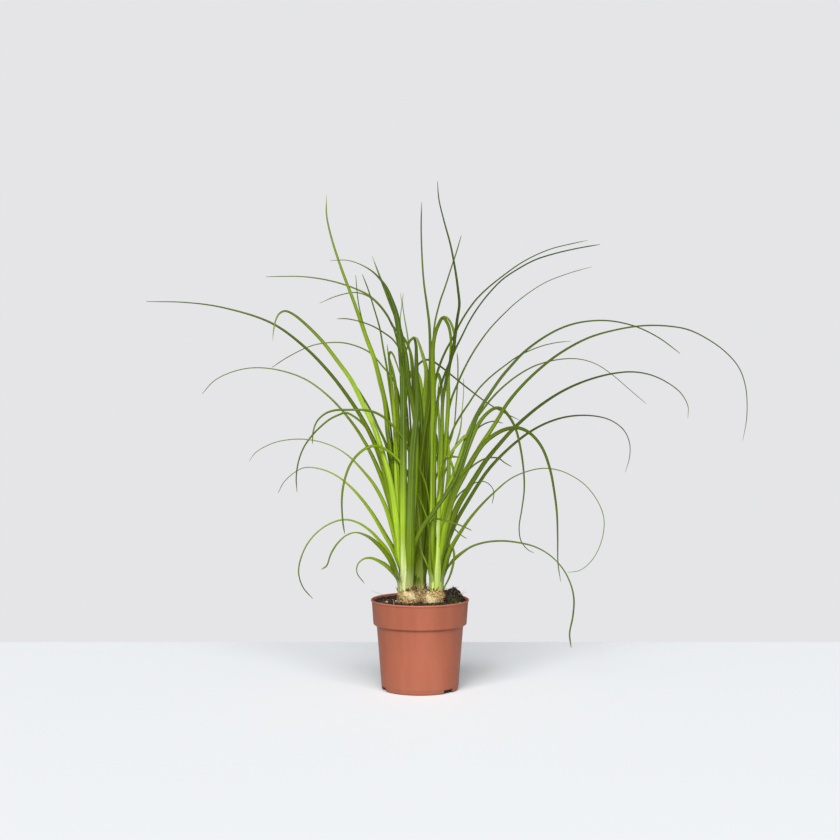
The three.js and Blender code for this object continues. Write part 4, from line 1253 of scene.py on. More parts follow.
LEFT = Crown("left", (-13.6, 1.0), 14.1, (-17.5, 1.0), (9.5, 7.8), LEFT_LEAVES, 11)
RIGHT = Crown("right", (15.4, 0.0), 14.3, (19.9, 0.0), (8.7, 7.5), RIGHT_LEAVES, 23)
BACK = Crown("back", (1.4, 25.4), 12.0, (-0.5, 24.0), (8.1, 6.9), BACK_LEAVES, 37, 0.3)


@dataclass
class Blade:
    """The one master blade that every leaf is a copy of: a flat strip with a shallow channel along it."""

    rows: int = 76
    cells: int = 6
    channel: float = 0.42

    def master(self) -> Object:
        """Models the strip, 2 wide and 1 long, with its edges raised.

        Returns:
            The master.
        """
        with editing(sheet("blade_master", self.cells, self.rows)) as strip:
            shift(0, 0.5, 0)
            scale(2, 1, 1, ORIGIN)
            for column in range(self.cells + 1):
                x = 2 * column / self.cells - 1
                choose(strip, lambda place: abs(place.x - x) < 1e-4)
                shift(0, 0, self.channel * (0.6 * x * x + 0.4 * abs(x)))
        return strip


@dataclass
class Tuft:
    """The leaves of one crown, wrapped round each other at the foot and free above."""

    crown: Crown
    blade: Blade
    foot: float = 122.3
    wrap_length: float = 42.0
    wrap_width: float = 4.6
    wrap_girth: Pair = (2.8, 5.7)  # of the innermost leaf, and how much more the outermost one has,
    wrap_sheath: float = 7.5  # in a sheath with this half width
    seat_length: float = 20.0
    seat_drop: float = 1.2
    seat_reach: Pair = (0.25, 0.75)
    inner_turn: float = 2.4
    outer_rank: float = 1.04
    tip_share: float = 0.035
    tip_width: float = 0.18
    flattening: float = 0.7
    thickness: float = 0.62
    bend_share: float = 40.0
    albedo: float = 0.84
    lightness: Pair = (0.76, 1.14)
    deepening: Triple = (0.6, 0.62, 0.33)  # how much, from which share of the length and over how much
    pale_fade: float = 2.4
    creamy_reach: float = 20.0
    dry_from: tuple[float, ...] = (0.965, 0.985, 1.0, 1.0)
    dry_over: float = 0.03
    dryness: float = 0.8
    young_heights: Pair = (4.0, 30.0)
    heart_outline: tuple[Pair, ...] = (
        (0.0, 0.0), (0.62, 0.0), (0.8, 3.0), (0.82, 14.0), (0.74, 26.0), (0.55, 40.0), (0.3, 54.0),
        (0.08, 64.0), (0.0, 66.0),
    )
    heart_sides: int = 44
    pleats: int = 11
    pleat_depth: float = 0.86
    chance: random.Random = field(init=False)

    def __post_init__(self) -> None:
        """Seeds the small differences between leaves."""
        self.chance = random.Random(self.crown.seed)

    def colour(self, leaf: Leaf, length: float, share: float, light: float, dry: float) -> Vector:
        """Works out a leaf's colour at one place.

        Args:
            leaf: the leaf.
            length: the distance from the root, in millimetres.
            share: the same, as a share of the whole length.
            light: how much lighter this leaf is than its tone.
            dry: the share at which its tip starts to dry.

        Returns:
            The linear colour.
        """
        turned_from, turned_over = leaf.turning
        green = leaf.low.towards(leaf.high, eased((length - turned_from) / turned_over))
        deepest, deep_from, deep_over = self.deepening
        green = green.lerp(DEEP.vector(), deepest * eased((share - deep_from) / deep_over)) * light
        reach, strength = leaf.pale
        blanched = strength * (1 - eased(length / (self.pale_fade * reach * self.crown.blanching)))
        creamy = PALE.towards(CREAM, eased(reach / self.creamy_reach)) * self.albedo
        dried = self.dryness * eased((share - dry) / self.dry_over)
        return green.lerp(creamy, blanched).lerp(STRAW.vector(), dried)

    @staticmethod
    def store(mesh: Mesh, colours: Sequence[Colour], places: Sequence[Pair]) -> None:
        """Stores each corner's colour, and its place on the leaf as the map that patterns follow.

        Args:
            mesh: the leaf's mesh.
            colours: a linear colour for each corner, and how near it is to the blade's edge.
            places: metres across and along the leaf for each corner.
        """
        stored = mesh.attributes.new("leaf_colour", "FLOAT_COLOR", "POINT")
        stored.data.foreach_set("color", [share for colour in colours for share in colour])
        while mesh.uv_layers:
            mesh.uv_layers.remove(mesh.uv_layers[0])
        corners = [places[loop.vertex_index] for loop in mesh.loops]
        layer = mesh.uv_layers.new(name="blade")
        layer.data.foreach_set("uv", [share for place in corners for share in place])

    def heart(self) -> Object:
        """Models the rolled young leaves at the heart, pleated lengthwise.

        Returns:
            The heart, with its colours and map.
        """
        across, along = self.crown.sheath_girth
        green_from, green_over = self.young_heights
        x, y = (value * MM for value in self.crown.sheath)
        with editing(turned("heart", self.heart_outline, self.heart_sides)) as heart:
            for pleat in range(self.pleats):
                here = round_about(math.tau * pleat / self.pleats).xy
                choose(heart, lambda place: place.xy.length > 1e-5 and place.xy.angle(here) < 0.01)
                scale(self.pleat_depth, self.pleat_depth, 1, ORIGIN)
            select_all()
            scale(across, along, 1, ORIGIN)
            shift(x, y, self.foot * MM)
        finish_modifier(heart, "SUBSURF", levels=1, render_levels=1)
        colours = []
        places = []
        for vertex in heart.data.vertices:
            up = vertex.co.z / MM - self.foot
            young = PALE.towards(GRASS, eased((up - green_from) / green_over)) * self.albedo
            colours.append((*young, 0.0))
            turn = math.atan2(vertex.co.y - y, vertex.co.x - x)
            places.append((turn * across * MM, vertex.co.z))
        self.store(heart.data, colours, places)
        return heart

    def rows_of(self, path: Sequence[Vector]) -> list[tuple[float, float, Vector, Vector]]:
        """Spaces the master's rows along a route, closer together where it bends.

        Args:
            path: the points of the route.

        Returns:
            For each row: the distance from the root, its share of the length, the place and the direction.
        """
        reach = [0.0]
        effort = [0.0]
        for index in range(1, len(path)):
            step = path[index] - path[index - 1]
            turn = step.angle(path[index - 1] - path[index - 2]) if index > 1 else 0.0
            reach.append(reach[-1] + step.length)
            effort.append(effort[-1] + step.length + self.bend_share * turn)
        rows = []
        index = 1
        for row in range(self.blade.rows + 1):
            wanted = effort[-1] * row / self.blade.rows
            while index < len(path) - 1 and effort[index] < wanted:
                index += 1
            share = (wanted - effort[index - 1]) / (effort[index] - effort[index - 1])
            length = reach[index - 1] + (reach[index] - reach[index - 1]) * share
            ahead = path[min(index + 1, len(path) - 1)] - path[max(index - 2, 0)]
            place = path[index - 1].lerp(path[index], share)
            rows.append((length, length / reach[-1], place, ahead.normalized()))
        return rows

    def laid(self, leaf: Leaf, master: Object, rank: float, index: int) -> Object:
        """Copies the master blade and lays it along a leaf's route.

        The copy's corners are placed in code, because a curve's own twist can't hold the turn of a blade
        that stands upright at its root.

        Args:
            leaf: the leaf.
            master: the master blade.
            rank: from 0 for the innermost leaf of the tuft to 1 for the outermost.
            index: the leaf's number in the tuft.

        Returns:
            The leaf.
        """
        path = leaf.path()
        rows = self.rows_of(path)
        middle = Vector(self.crown.sheath)
        outward = path[len(path) // 4].xy - middle
        facing = math.atan2(outward.y, outward.x)
        facing += (1 - rank) ** 1.5 * (((index * self.inner_turn) % math.tau) - math.pi)
        if leaf.face is not None:
            facing, rank = math.radians(leaf.face), self.outer_rank
        ahead = round_about(facing)
        inner, more = self.wrap_girth
        girth = (inner + more * rank) * min(self.crown.sheath_girth) / self.wrap_sheath
        rim = Vector([way * reach for way, reach in zip(ahead, self.crown.sheath_girth)])
        root = middle + rim * (self.seat_reach[0] + self.seat_reach[1] * rank)
        light = self.chance.uniform(*self.lightness) * self.albedo
        dry = self.chance.choice(self.dry_from)
        root_turn, tip_turn = (math.radians(value) for value in leaf.turn)
        foot = path[0].z - self.foot + self.seat_drop
        corners: list[Vector] = []
        colours: list[Colour] = []
        places: list[Pair] = []
        for corner in master.data.vertices:
            length, share, here, forward = rows[round(corner.co.y * self.blade.rows)]
            turn = root_turn + (tip_turn - root_turn) * share
            upright = Vector((forward.z, 0, -forward.x)).normalized()
            across = upright * math.cos(turn) + Vector((0, math.sin(turn), 0))
            across = (across - forward * across.dot(forward)).normalized()
            over = forward.cross(across)
            sharp = min(1.0, max(0.0, 1 - share) / self.tip_share) ** 0.7
            half = stepped(leaf.width, share) / 2 * (self.tip_width + (1 - self.tip_width) * sharp)
            raised = corner.co.z * half * (1 - self.flattening * share)
            free = here + across * (corner.co.x * half) + over * raised
            low = 1 - min(length / self.seat_length, 1)
            seat = here - Vector((0, 0, foot * low * low))
            seat.xy = seat.xy.lerp(root, low * low * (3 - 2 * low))
            round_turn = facing + max(half, self.wrap_width) * corner.co.x / girth
            wrapped = seat + (round_about(round_turn) - ahead) * girth
            corners.append(free.lerp(wrapped, 1 - eased(length / self.wrap_length)) * MM)
            # the alpha holds how near the corner is to the blade's edge, which drives the painted edge shade
            colours.append((*self.colour(leaf, length, share, light, dry), abs(corner.co.x)))
            places.append((corner.co.x * half * MM, length * MM))
        blade = copied(master, f"{self.crown.name}_leaf_{index}")
        blade.data.vertices.foreach_set("co", [value for corner in corners for value in corner])
        self.store(blade.data, colours, places)
        return blade

    def build(self, master: Object) -> Object:
        """Builds the whole tuft.

        Args:
            master: the master blade.

        Returns:
            The piece.
        """
        middle = Vector(self.crown.sheath)
        paths = [leaf.path() for leaf in self.crown.leaves]
        spread = [(path[len(path) // 3].xy - middle).length for path in paths]
        order = sorted(range(len(spread)), key=spread.__getitem__)
        ranks = {leaf: place / (len(order) - 1) for place, leaf in enumerate(order)}
        parts = [self.laid(leaf, master, ranks[i], i) for i, leaf in enumerate(self.crown.leaves)]
        leaves = joined(f"{self.crown.name}_leaves", parts)
        thicken(leaves, self.thickness)
        return smooth(joined(f"{self.crown.name}_tuft", [leaves, self.heart()]), 50)

    def dress(self, master: Object, skin: Material) -> None:
        """Builds the tuft from the master blade and shows it in the leaves' skin."""
        show(self.build(master), skin, Slot.LEAF, f"leaves_{self.crown.name}")


# ---------------------------------------------------------------- the bulbs
@dataclass
class Bulb:
    """One swollen stem base with its corky skin, loose scales and papery neck."""

    crown: Crown
    outline: tuple[Pair, ...] = (
        (0.0, 74.0), (0.2, 78.0), (0.34, 86.0), (0.66, 93.0), (0.86, 99.0), (0.94, 103.0), (0.985, 106.0),
        (1.0, 109.0), (0.985, 112.0), (0.93, 115.0), (0.85, 117.5), (0.75, 119.6), (0.66, 121.3),
        (0.56, 122.0), (0.0, 122.0),
    )
    sides: int = 60
    lean_from: float = 110.0
    # the pale bare patches, middle and reach, partly a painted highlight on the bulb's front
    lit_bare: tuple[tuple[Triple, float], ...] = ()
    flake_count: int = 190
    flake_heights: Pair = (102.5, 121.0)
    flake_lift: float = 0.12
    flake_lit_bareness: Pair = (0.15, 0.8)
    flake_sizes: Pair = (0.45, 1.15)
    flake_thickness: float = 0.14
    flake_start: float = 40.0
    paper_count: int = 38
    paper_heights: Pair = (119.0, 123.4)
    paper_sizes: Pair = (0.5, 1.1)
    paper_length: float = 6.5
    paper_rows: int = 5
    paper_thickness: float = 0.16

    def skin(self) -> Object:
        """Models the bulb.

        Returns:
            The piece, with the attribute that says where its skin is bare and pale, which also carries a
            painted highlight on its front.
        """
        outline = [(share * self.crown.girth, height) for share, height in self.outline]
        lean = Vector(self.crown.sheath) - Vector(self.crown.bulb)
        top = self.outline[-1][1]
        with editing(turned(f"{self.crown.name}_bulb", outline, self.sides)) as bulb:
            for height in sorted({height for _, height in self.outline if height > self.lean_from}):
                choose(bulb, lambda place: abs(place.z / MM - height) < 0.01)
                share = (height - self.lean_from) / (top - self.lean_from) * MM
                shift(lean.x * share, lean.y * share, 0)
            select_all()
            shift(*(value * MM for value in self.crown.bulb), 0)
        finish_modifier(bulb, "SUBSURF", levels=2, render_levels=2)
        roughen(bulb, (Pattern.CLOUDS, 7.0, 2.0), (Pattern.CLOUDS, 2.4, 1.2), (Pattern.CELLS, 1.7, 0.7))
        stored = bulb.data.attributes.new("lit_bare", "FLOAT", "POINT")
        stored.data.foreach_set("value", [self.lit_bareness(v.co / MM) for v in bulb.data.vertices])
        return smooth(bulb, 60)

    def lit_bareness(self, place: Vector) -> float:
        """Says from 0, scaly, to 1 how bare and pale the skin is at a place in millimetres; the pale patches
        also carry a painted highlight.
        """
        shares = [1 - (place - Vector(middle)).length / reach for middle, reach in self.lit_bare]
        return eased(max([0.0, *shares]) * 1.6)

    def flake_master(self) -> Object:
        """Models one thin curled flake, 2 wide, 1.4 high and facing +Z.

        Returns:
            The master.
        """
        with editing(sheet("flake_master", 3, 2)) as flake:
            scale(2.0, 1.4, 1)
            choose(flake, lambda place: abs(place.x) > 0.6)
            shift(0, 0, -0.22)
            scale(1, 0.55, 1)
            choose(flake, lambda place: place.y > 0.4)
            shift(0, 0, 0.3)
        return flake

    def flakes(self, bulb: Object, count: int) -> Object:
        """Lays loose scales on the bulb, in rough rings.

        Args:
            bulb: the finished bulb.
            count: how many there are.

        Returns:
            The piece.
        """
        chance = random.Random(self.crown.seed + 1)
        tree = surface_tree(bulb)
        places = []
        while len(places) < count:
            middle = Vector((*self.crown.bulb, chance.uniform(*self.flake_heights))) * MM
            away = round_about(chance.uniform(0, math.tau), chance.uniform(-0.1, 0.5)).normalized()
            hit, normal, _, _ = tree.ray_cast(middle + away * self.flake_start * MM, -away)
            if hit is None or self.lit_bareness(hit / MM) > chance.uniform(*self.flake_lit_bareness):
                continue
            tilt = (normal + Vector((0, 0, chance.uniform(0.1, 0.45)))).normalized()
            size = chance.uniform(*self.flake_sizes) * MM
            stretch = Vector((size * chance.uniform(0.8, 1.5), size, size * chance.uniform(0.7, 1.6)))
            place = hit + normal * self.flake_lift * MM
            places.append(standing(place, tilt, chance.uniform(-0.5, 0.5), stretch))
        flakes = strewn(f"{self.crown.name}_bulb_scales", [self.flake_master()], places, chance)
        thicken(flakes, self.flake_thickness)
        return smooth(flakes, 40)

    def paper_master(self) -> Object:
        """Models one papery leftover of an old leaf base: a narrow pointed strip that stands up.

        Returns:
            The master.
        """
        step = self.paper_length / self.paper_rows
        with editing(sheet("paper_master", 2, self.paper_rows)) as strip:
            shift(0, 0.5, 0)
            scale(3.4, self.paper_length, 1, ORIGIN)
            for row in range(1, self.paper_rows + 1):
                choose(strip, lambda place: abs(place.y - step * row) < 0.1)
                scale((1 - row / self.paper_rows) ** 0.6 * 0.96 + 0.04, 1, 1, (0, step * row, 0))
                shift(0.1 * row, 0, 0.05 * row * row)
            choose(strip, lambda place: abs(place.x) > 0.5 and place.y < 4)
            shift(0, 0, -0.5)
        return strip

    def paper(self, count: int) -> Object:
        """Stands papery strips round the neck.

        Args:
            count: how many there are.

        Returns:
            The piece.
        """
        chance = random.Random(self.crown.seed + 2)
        places = []
        for index in range(count):
            away = round_about(math.tau * (index + chance.uniform(-0.4, 0.4)) / count)
            girth = Vector(self.crown.sheath_girth) * chance.uniform(1.0, 1.14)
            x = self.crown.sheath[0] + girth.x * away.x
            y = self.crown.sheath[1] + girth.y * away.y
            foot = Vector((x, y, chance.uniform(*self.paper_heights)))
            up = Vector((0, 0, 1)) + away * chance.uniform(-0.05, 0.45)
            side = up.cross(away).normalized()
            turn = Matrix((side, up.normalized(), side.cross(up.normalized()))).transposed().to_4x4()
            size = chance.uniform(*self.paper_sizes)
            stretch = Matrix.Diagonal((size * MM, size * MM * chance.uniform(0.6, 1.1), size * MM, 1))
            places.append(Matrix.Translation(foot * MM) @ turn @ stretch)
        paper = strewn(f"{self.crown.name}_neck_paper", [self.paper_master()], places, chance)
        thicken(paper, self.paper_thickness)
        return smooth(paper, 40)

    def dress(self, skin: Material, flake: Material, paper: Material) -> None:
        """Builds the bulb with its scales and its papery neck, and shows them.

        Args:
            skin: the bulb's finish.
            flake: the scales' finish.
            paper: the papery strips' finish.
        """
        bulb = self.skin()
        show(bulb, skin, Slot.BULB, f"bulb_{self.crown.name}")
        show(self.flakes(bulb, self.flake_count), flake, Slot.BULB)
        show(self.paper(self.paper_count), paper, Slot.BULB)


# ---------------------------------------------------------------- the pot
@dataclass
class NurseryPot:
    """The thin plastic pot: body, step, straight collar and lip, with notches through its foot."""

    height: float = 111.0
    rim: float = 60.0
    lip: float = 2.0
    collar_top: float = 58.9
    collar_foot: float = 57.0
    collar_foot_height: float = 81.0
    step_height: float = 76.0
    ledge: float = 0.8
    ledge_height: float = 79.0
    body_top: float = 52.7
    body_middle: Pair = (50.4, 47.0)
    foot: float = 46.8
    foot_rounding: float = 1.6
    wall: float = 1.5
    floor: float = 1.8
    bevel: float = 0.35
    sides: int = 144
    notch: Triple = (19.5, 7.0, 5.0)
    notch_taper: float = 0.78
    notch_turns: Triple = (48.0, 168.0, -72.0)

    def inner(self, gap: float = 0.0) -> list[Pair]:
        """Gives the section of the inside, from the foot of the collar to the middle of the floor.

        Args:
            gap: how far it stands in from the wall, in millimetres.

        Returns:
            Radius and height of each corner.
        """
        wall, floor = self.wall + gap, self.floor + gap
        return [
            (self.collar_foot - wall, self.collar_foot_height + wall),
            (self.body_top + self.ledge - wall, self.ledge_height + wall),
            (self.body_top - wall, self.step_height),
            (self.body_middle[0] - wall, self.body_middle[1]),
            (self.foot - wall, floor),
            (0, floor),
        ]

    def outline(self) -> list[Pair]:
        """Gives the section through the wall.

        Returns:
            Radius and height of each corner, from the middle of the underside to the floor inside.
        """
        under_lip = self.height - self.lip
        return [
            (0, 0.0),
            (31.0, 0.0),
            (31.6, 0.5),
            (34.4, 0.5),
            (35.0, 0.0),
            (self.foot - self.foot_rounding, 0.0),
            (self.foot, self.foot_rounding),
            (self.foot + 0.32, 5.6),
            (self.foot + 0.62, 6.0),
            (self.foot + 0.56, 6.6),
            self.body_middle,
            (self.body_top, self.step_height),
            (self.body_top + self.ledge, self.ledge_height),
            (self.collar_foot - 0.7, self.collar_foot_height - 0.6),
            (self.collar_foot, self.collar_foot_height + 0.2),
            (self.collar_top, under_lip - 0.9),
            (self.rim - 0.15, under_lip - 0.1),
            (self.rim, self.height - 1.2),
            (self.rim - 0.1, self.height - 0.4),
            (self.rim - 0.55, self.height),
            (self.rim - self.wall, self.height - 0.1),
            (self.collar_top - self.wall, under_lip - 2.0),
            *self.inner(),
        ]

    def cutter(self, turn: float) -> Object:
        """Models the wedge that cuts one notch, wider at the bottom.

        Args:
            turn: degrees from the front towards +X.

        Returns:
            The cutter.
        """
        wide, deep, high = (value * MM for value in self.notch)
        with editing(start("notch_cutter", bpy.ops.mesh.primitive_cube_add, size=1)) as wedge:
            scale(wide, deep * 2, high * 2)
            choose(wedge, lambda place: place.z > 0)
            scale(self.notch_taper, 1, 1)
        move = Matrix.Translation((0, -(self.foot + 1) * MM, 0))
        wedge.data.transform(Matrix.Rotation(math.radians(turn), 4, "Z") @ move)
        return wedge

    def build(self) -> Object:
        """Builds the pot.

        Returns:
            The piece.
        """
        pot = turned("pot_shell", self.outline(), self.sides)
        sharp = {"limit_method": "ANGLE", "angle_limit": math.radians(30)}
        finish_modifier(pot, "BEVEL", width=self.bevel * MM, segments=2, **sharp)
        for turn in self.notch_turns:
            cutter = self.cutter(turn)
            finish_modifier(pot, "BOOLEAN", operation="DIFFERENCE", object=cutter, solver="EXACT")
            bpy.data.objects.remove(cutter)
        return smooth(pot, 28)

    def dress(self, effects: Effects) -> None:
        """Builds the pot and shows it in its plastic."""
        show(self.build(), PotPlastic().make(effects), Slot.POT, "pot")


# ---------------------------------------------------------------- the soil
def left_front(x: float, y: float) -> bool:
    """Says whether a place is in the left front of the soil, where the pale bits lie."""
    return (x + 37) ** 2 / 140 + (y + 14) ** 2 / 500 < 1


def anywhere(_x: float, _y: float) -> bool:
    """Accepts any place on the soil."""
    return True


@dataclass
class SoilBed:
    """The peat in the pot, its raised clod, and what lies and grows on it."""

    pot: NurseryPot
    crowns: tuple[Crown, ...]
    gap: float = 0.3
    edge_height: float = 108.3
    shoulder: Pair = (46.0, 108.2)
    middle: Pair = (28.0, 107.5)
    sides: int = 150
    ring_step: float = 1.5
    lumps: tuple[tuple[Triple, Triple], ...] = (
        ((34, 6, 108), (9, 13, 12.5)),
        ((41, 2, 110), (8.5, 12, 14)),
        ((45, 12, 106), (8, 10, 13)),
        ((39, -8, 104), (8.5, 7.5, 10)),
        ((49, 4, 103), (4.6, 9, 12.5)),
    )
    lump_grain: float = 0.75
    strewn_radius: float = 56.2
    drop_height: float = 140.0
    crumb_sink: float = 0.3
    crumb_power: float = 2.2
    crumb_kinds: int = 4
    fibre_radius: float = 52.0
    fibre_cuts: int = 6
    fibre_lengths: Pair = (2.5, 9.0)
    fibre_widths: Pair = (0.14, 0.34)
    fibre_bends: Triple = (0.8, -1.4, 2.2)
    fibre_lift: float = 0.35
    moss_middle: Pair = (42.0, 109.5)
    moss_spread: Pair = (4.6, 2.6)
    moss_across: Pair = (34.0, 51.0)
    moss_back: float = 4.0
    moss_top: float = 117.0
    moss_sizes: Pair = (0.9, 2.0)
    moss_sink: float = 0.2
    moss_view: Pair = (-60.0, 12.0)  # how far in front of the clod and above a sprig it is sighted from
    root_radius: float = 0.22
    seed: int = 5
    chance: random.Random = field(init=False)

    def __post_init__(self) -> None:
        """Seeds the scatter."""
        self.chance = random.Random(self.seed)

    def inside(self, height: float) -> float:
        """Gives the radius of the pot's inner face, less the gap.

        Args:
            height: the height, on the collar.

        Returns:
            The radius.
        """
        pot = self.pot
        top = pot.height - 2 * pot.lip
        share = (height - pot.collar_foot_height) / (top - pot.collar_foot_height)
        return pot.collar_foot + (pot.collar_top - pot.collar_foot) * share - pot.wall - self.gap

    def level(self, radius: float) -> float:
        """Gives the height of the smooth soil.

        Args:
            radius: the distance from the axis.

        Returns:
            The height.
        """
        edge = (self.inside(self.edge_height), self.edge_height)
        for (outer, low), (inner, high) in ((edge, self.shoulder), (self.shoulder, self.middle)):
            if radius > inner:
                return low + (high - low) * (outer - radius) / (outer - inner)
        return self.middle[1]

    def bed(self) -> Object:
        """Models the body of soil, with a fine uneven top.

        Returns:
            The piece.
        """
        edge = self.inside(self.edge_height)
        rings = int(edge / self.ring_step)
        radii = [edge * (1 - ring / rings) for ring in range(rings + 1)]
        sides = [*reversed(self.pot.inner(self.gap)), (edge, self.edge_height - 1.5)]
        top = [(radius, self.level(radius)) for radius in radii]
        with editing(turned("soil_bed", [*sides, *top], self.sides)) as bed:
            bed.vertex_groups.new(name="top")
            choose(bed, lambda p: p.z > (self.edge_height - 1) * MM and p.xy.length < (edge - 1) * MM)
            bpy.ops.object.vertex_group_assign()
        layers = ((Pattern.CLOUDS, 9.0, 3.0), (Pattern.CLOUDS, 3.0, 2.4), (Pattern.CELLS, 2.2, 1.0))
        roughen(bed, *layers, group="top", along="Z")
        return smooth(bed, 60)

    def clod(self) -> Object:
        """Models the raised clod: lumps pressed into one and crumbled.

        Returns:
            The piece.
        """
        parts = []
        for middle, half in self.lumps:
            with editing(ball("lump", 4)) as lump:
                scale(*(value * MM for value in half))
                shift(*(value * MM for value in middle))
            parts.append(lump)
        clod = take(joined("soil_clod", parts))
        clod.data.remesh_voxel_size = self.lump_grain * MM
        bpy.ops.object.voxel_remesh()
        roughen(clod, (Pattern.CLOUDS, 6.0, 4.6), (Pattern.CLOUDS, 2.2, 2.4), (Pattern.CELLS, 1.6, 0.9))
        return smooth(clod, 60)

    def clear_of_bulbs(self, x: float, y: float) -> bool:
        """Says whether a place on the soil is outside every bulb."""
        return all((Vector((x, y)) - Vector(crown.bulb)).length > crown.girth for crown in self.crowns)

    def spots(self, tree: BVHTree, count: int, area: Area) -> Iterator[tuple[Vector, Vector]]:
        """Drops points on the soil.

        Args:
            tree: the surfaces that they land on.
            count: how many there are.
            area: says whether a place, in millimetres, is wanted.

        Yields:
            Where each point landed, and the normal there.
        """
        found = 0
        while found < count:
            radius = self.strewn_radius * math.sqrt(self.chance.random())
            turn = self.chance.uniform(0, math.tau)
            x, y = radius * math.cos(turn), radius * math.sin(turn)
            if not area(x, y) or not self.clear_of_bulbs(x, y):
                continue
            hit, normal, _, _ = tree.ray_cast(Vector((x, y, self.drop_height)) * MM, Vector((0, 0, -1)))
            if hit is not None:
                found += 1
                yield hit, normal

    def crumb_master(self, subdivisions: int, number: int) -> Object:
        """Models one angular crumb, about 2 across.

        Args:
            subdivisions: how fine its sphere starts.
            number: which of several different crumbs it is.

        Returns:
            The master.
        """
        with editing(ball("crumb_master", subdivisions)) as crumb:
            bpy.ops.transform.vertex_random(offset=0.34, seed=number)
            scale(1.15, 0.85, 0.8)
        return crumb

    def crumbs(self, name: str, tree: BVHTree, count: int, sizes: Pair, area: Area) -> Object:
        """Strews crumbs on the soil.

        Args:
            name: the piece's name.
            tree: the soil's surface.
            count: how many there are.
            sizes: the smallest and largest half size, in millimetres.
            area: where they may lie.

        Returns:
            The piece.
        """
        small, large = sizes
        fineness = 2 if large > 1 else 1
        masters = [self.crumb_master(fineness, number + 1) for number in range(self.crumb_kinds)]
        places = []
        for hit, normal in self.spots(tree, count, area):
            size = small + (large - small) * self.chance.random() ** self.crumb_power
            stretch = Vector((size, size, size * self.chance.uniform(0.7, 1.1))) * MM
            spin = self.chance.uniform(0, math.tau)
            places.append(standing(hit + normal * size * self.crumb_sink * MM, normal, spin, stretch))
        return smooth(strewn(name, masters, places, self.chance), 35)

    def fibre_master(self, bend: float) -> Object:
        """Models one short bent fibre, 1 long and thin.

        Args:
            bend: how far it bows.

        Returns:
            The master.
        """
        settings = {"vertices": 5, "radius": 0.5, "depth": 1, "end_fill_type": "TRIFAN"}
        heights = [cut / self.fibre_cuts - 0.5 for cut in range(self.fibre_cuts + 1)]
        with editing(start("fibre_master", bpy.ops.mesh.primitive_cylinder_add, **settings)) as fibre:
            for height in heights[1:-1]:
                select_all()
                bpy.ops.mesh.bisect(plane_co=(0, 0, height), plane_no=(0, 0, 1))
            for height in heights:
                choose(fibre, lambda place: abs(place.z - height) < 0.01)
                shift(bend * (1 - 4 * height * height), bend * 0.4 * math.sin(9 * height), 0)
        return fibre

    def fibres(self, tree: BVHTree, count: int) -> Object:
        """Lays fibres on the soil, most of them flat and some standing out.

        Args:
            tree: the soil's surface.
            count: how many there are.

        Returns:
            The piece.
        """
        masters = [self.fibre_master(bend) for bend in self.fibre_bends]
        places = []
        for hit, normal in self.spots(tree, count, lambda x, y: math.hypot(x, y) < self.fibre_radius):
            length = self.chance.uniform(*self.fibre_lengths)
            thick = self.chance.uniform(*self.fibre_widths)
            turn = self.chance.uniform(0, math.tau)
            lie = round_about(turn)
            lie = (lie - normal * lie.dot(normal) + normal * self.chance.uniform(-0.05, 0.3)).normalized()
            size = Vector((thick, thick, length)) * MM
            places.append(standing(hit + normal * self.fibre_lift * MM, lie, turn, size))
        return smooth(strewn("soil_fibres", masters, places, self.chance), 60)

    def sprig_master(self) -> Object:
        """Models one sprig of moss: a stem of three small pointed leaves, 1 high.

        Returns:
            The master.
        """
        cone = {"vertices": 4, "radius1": 0.16, "depth": 1}
        with editing(start("sprig_master", bpy.ops.mesh.primitive_cone_add, **cone)) as sprig:
            shift(0, 0, 0.5)
            for turn in (0.6, 2.7, 4.8):
                choose(sprig, lambda place: place.xy.length < 0.2 and place.z < 1.1)
                bpy.ops.mesh.duplicate()
                scale(1, 1, 0.62, ORIGIN)
                bpy.ops.transform.rotate(value=0.75, orient_axis="X", center_override=(0, 0, 0.15))
                bpy.ops.transform.rotate(value=turn, orient_axis="Z", center_override=ORIGIN)
        return sprig

    def moss(self, tree: BVHTree, count: int) -> Object:
        """Grows moss on the front of the clod.

        Args:
            tree: the soil's surface.
            count: how many sprigs there are.

        Returns:
            The piece.
        """
        gauss, slope = self.chance.gauss, Vector((0, 1, -0.2)).normalized()
        left, right = (value * MM for value in self.moss_across)
        before, above = self.moss_view
        places = []
        while len(places) < count:
            x, z = (gauss(*sizes) for sizes in zip(self.moss_middle, self.moss_spread))
            hit, normal, _, _ = tree.ray_cast(Vector((x, before, z + above)) * MM, slope)
            if hit is None or hit.y > self.moss_back * MM or hit.z > self.moss_top * MM:
                continue
            if not left < hit.x < right:
                continue
            way = (normal + Vector((gauss(0, 0.35), gauss(0, 0.35), 0.7))).normalized()
            size = self.chance.uniform(*self.moss_sizes) * MM
            place = hit - normal * self.moss_sink * MM
            places.append(standing(place, way, self.chance.uniform(0, 6), (size,) * 3))
        return smooth(strewn("moss", [self.sprig_master()], places, self.chance), 30)

    def strand(self, points: Sequence[Triple]) -> Object:
        """Models one thin strand that gets thinner along points.

        Args:
            points: the points, in millimetres.

        Returns:
            The strand as a mesh.
        """
        strand = start("strand", bpy.ops.curve.primitive_nurbs_path_add)
        strand.data.splines.clear()
        spline = strand.data.splines.new("NURBS")
        spline.points.add(len(points) - 1)
        for index, (point, place) in enumerate(zip(spline.points, points)):
            point.co = (*(value * MM for value in place), 1)
            point.radius = 1 - 0.6 * index / (len(points) - 1)
        spline.use_endpoint_u = True
        strand.data.dimensions = "3D"
        strand.data.bevel_depth = self.root_radius * MM
        strand.data.bevel_resolution = 2
        strand.data.resolution_u = 6
        strand.data.use_fill_caps = True
        bpy.ops.object.convert(target="MESH")
        tint(strand, self.chance.random())
        return strand

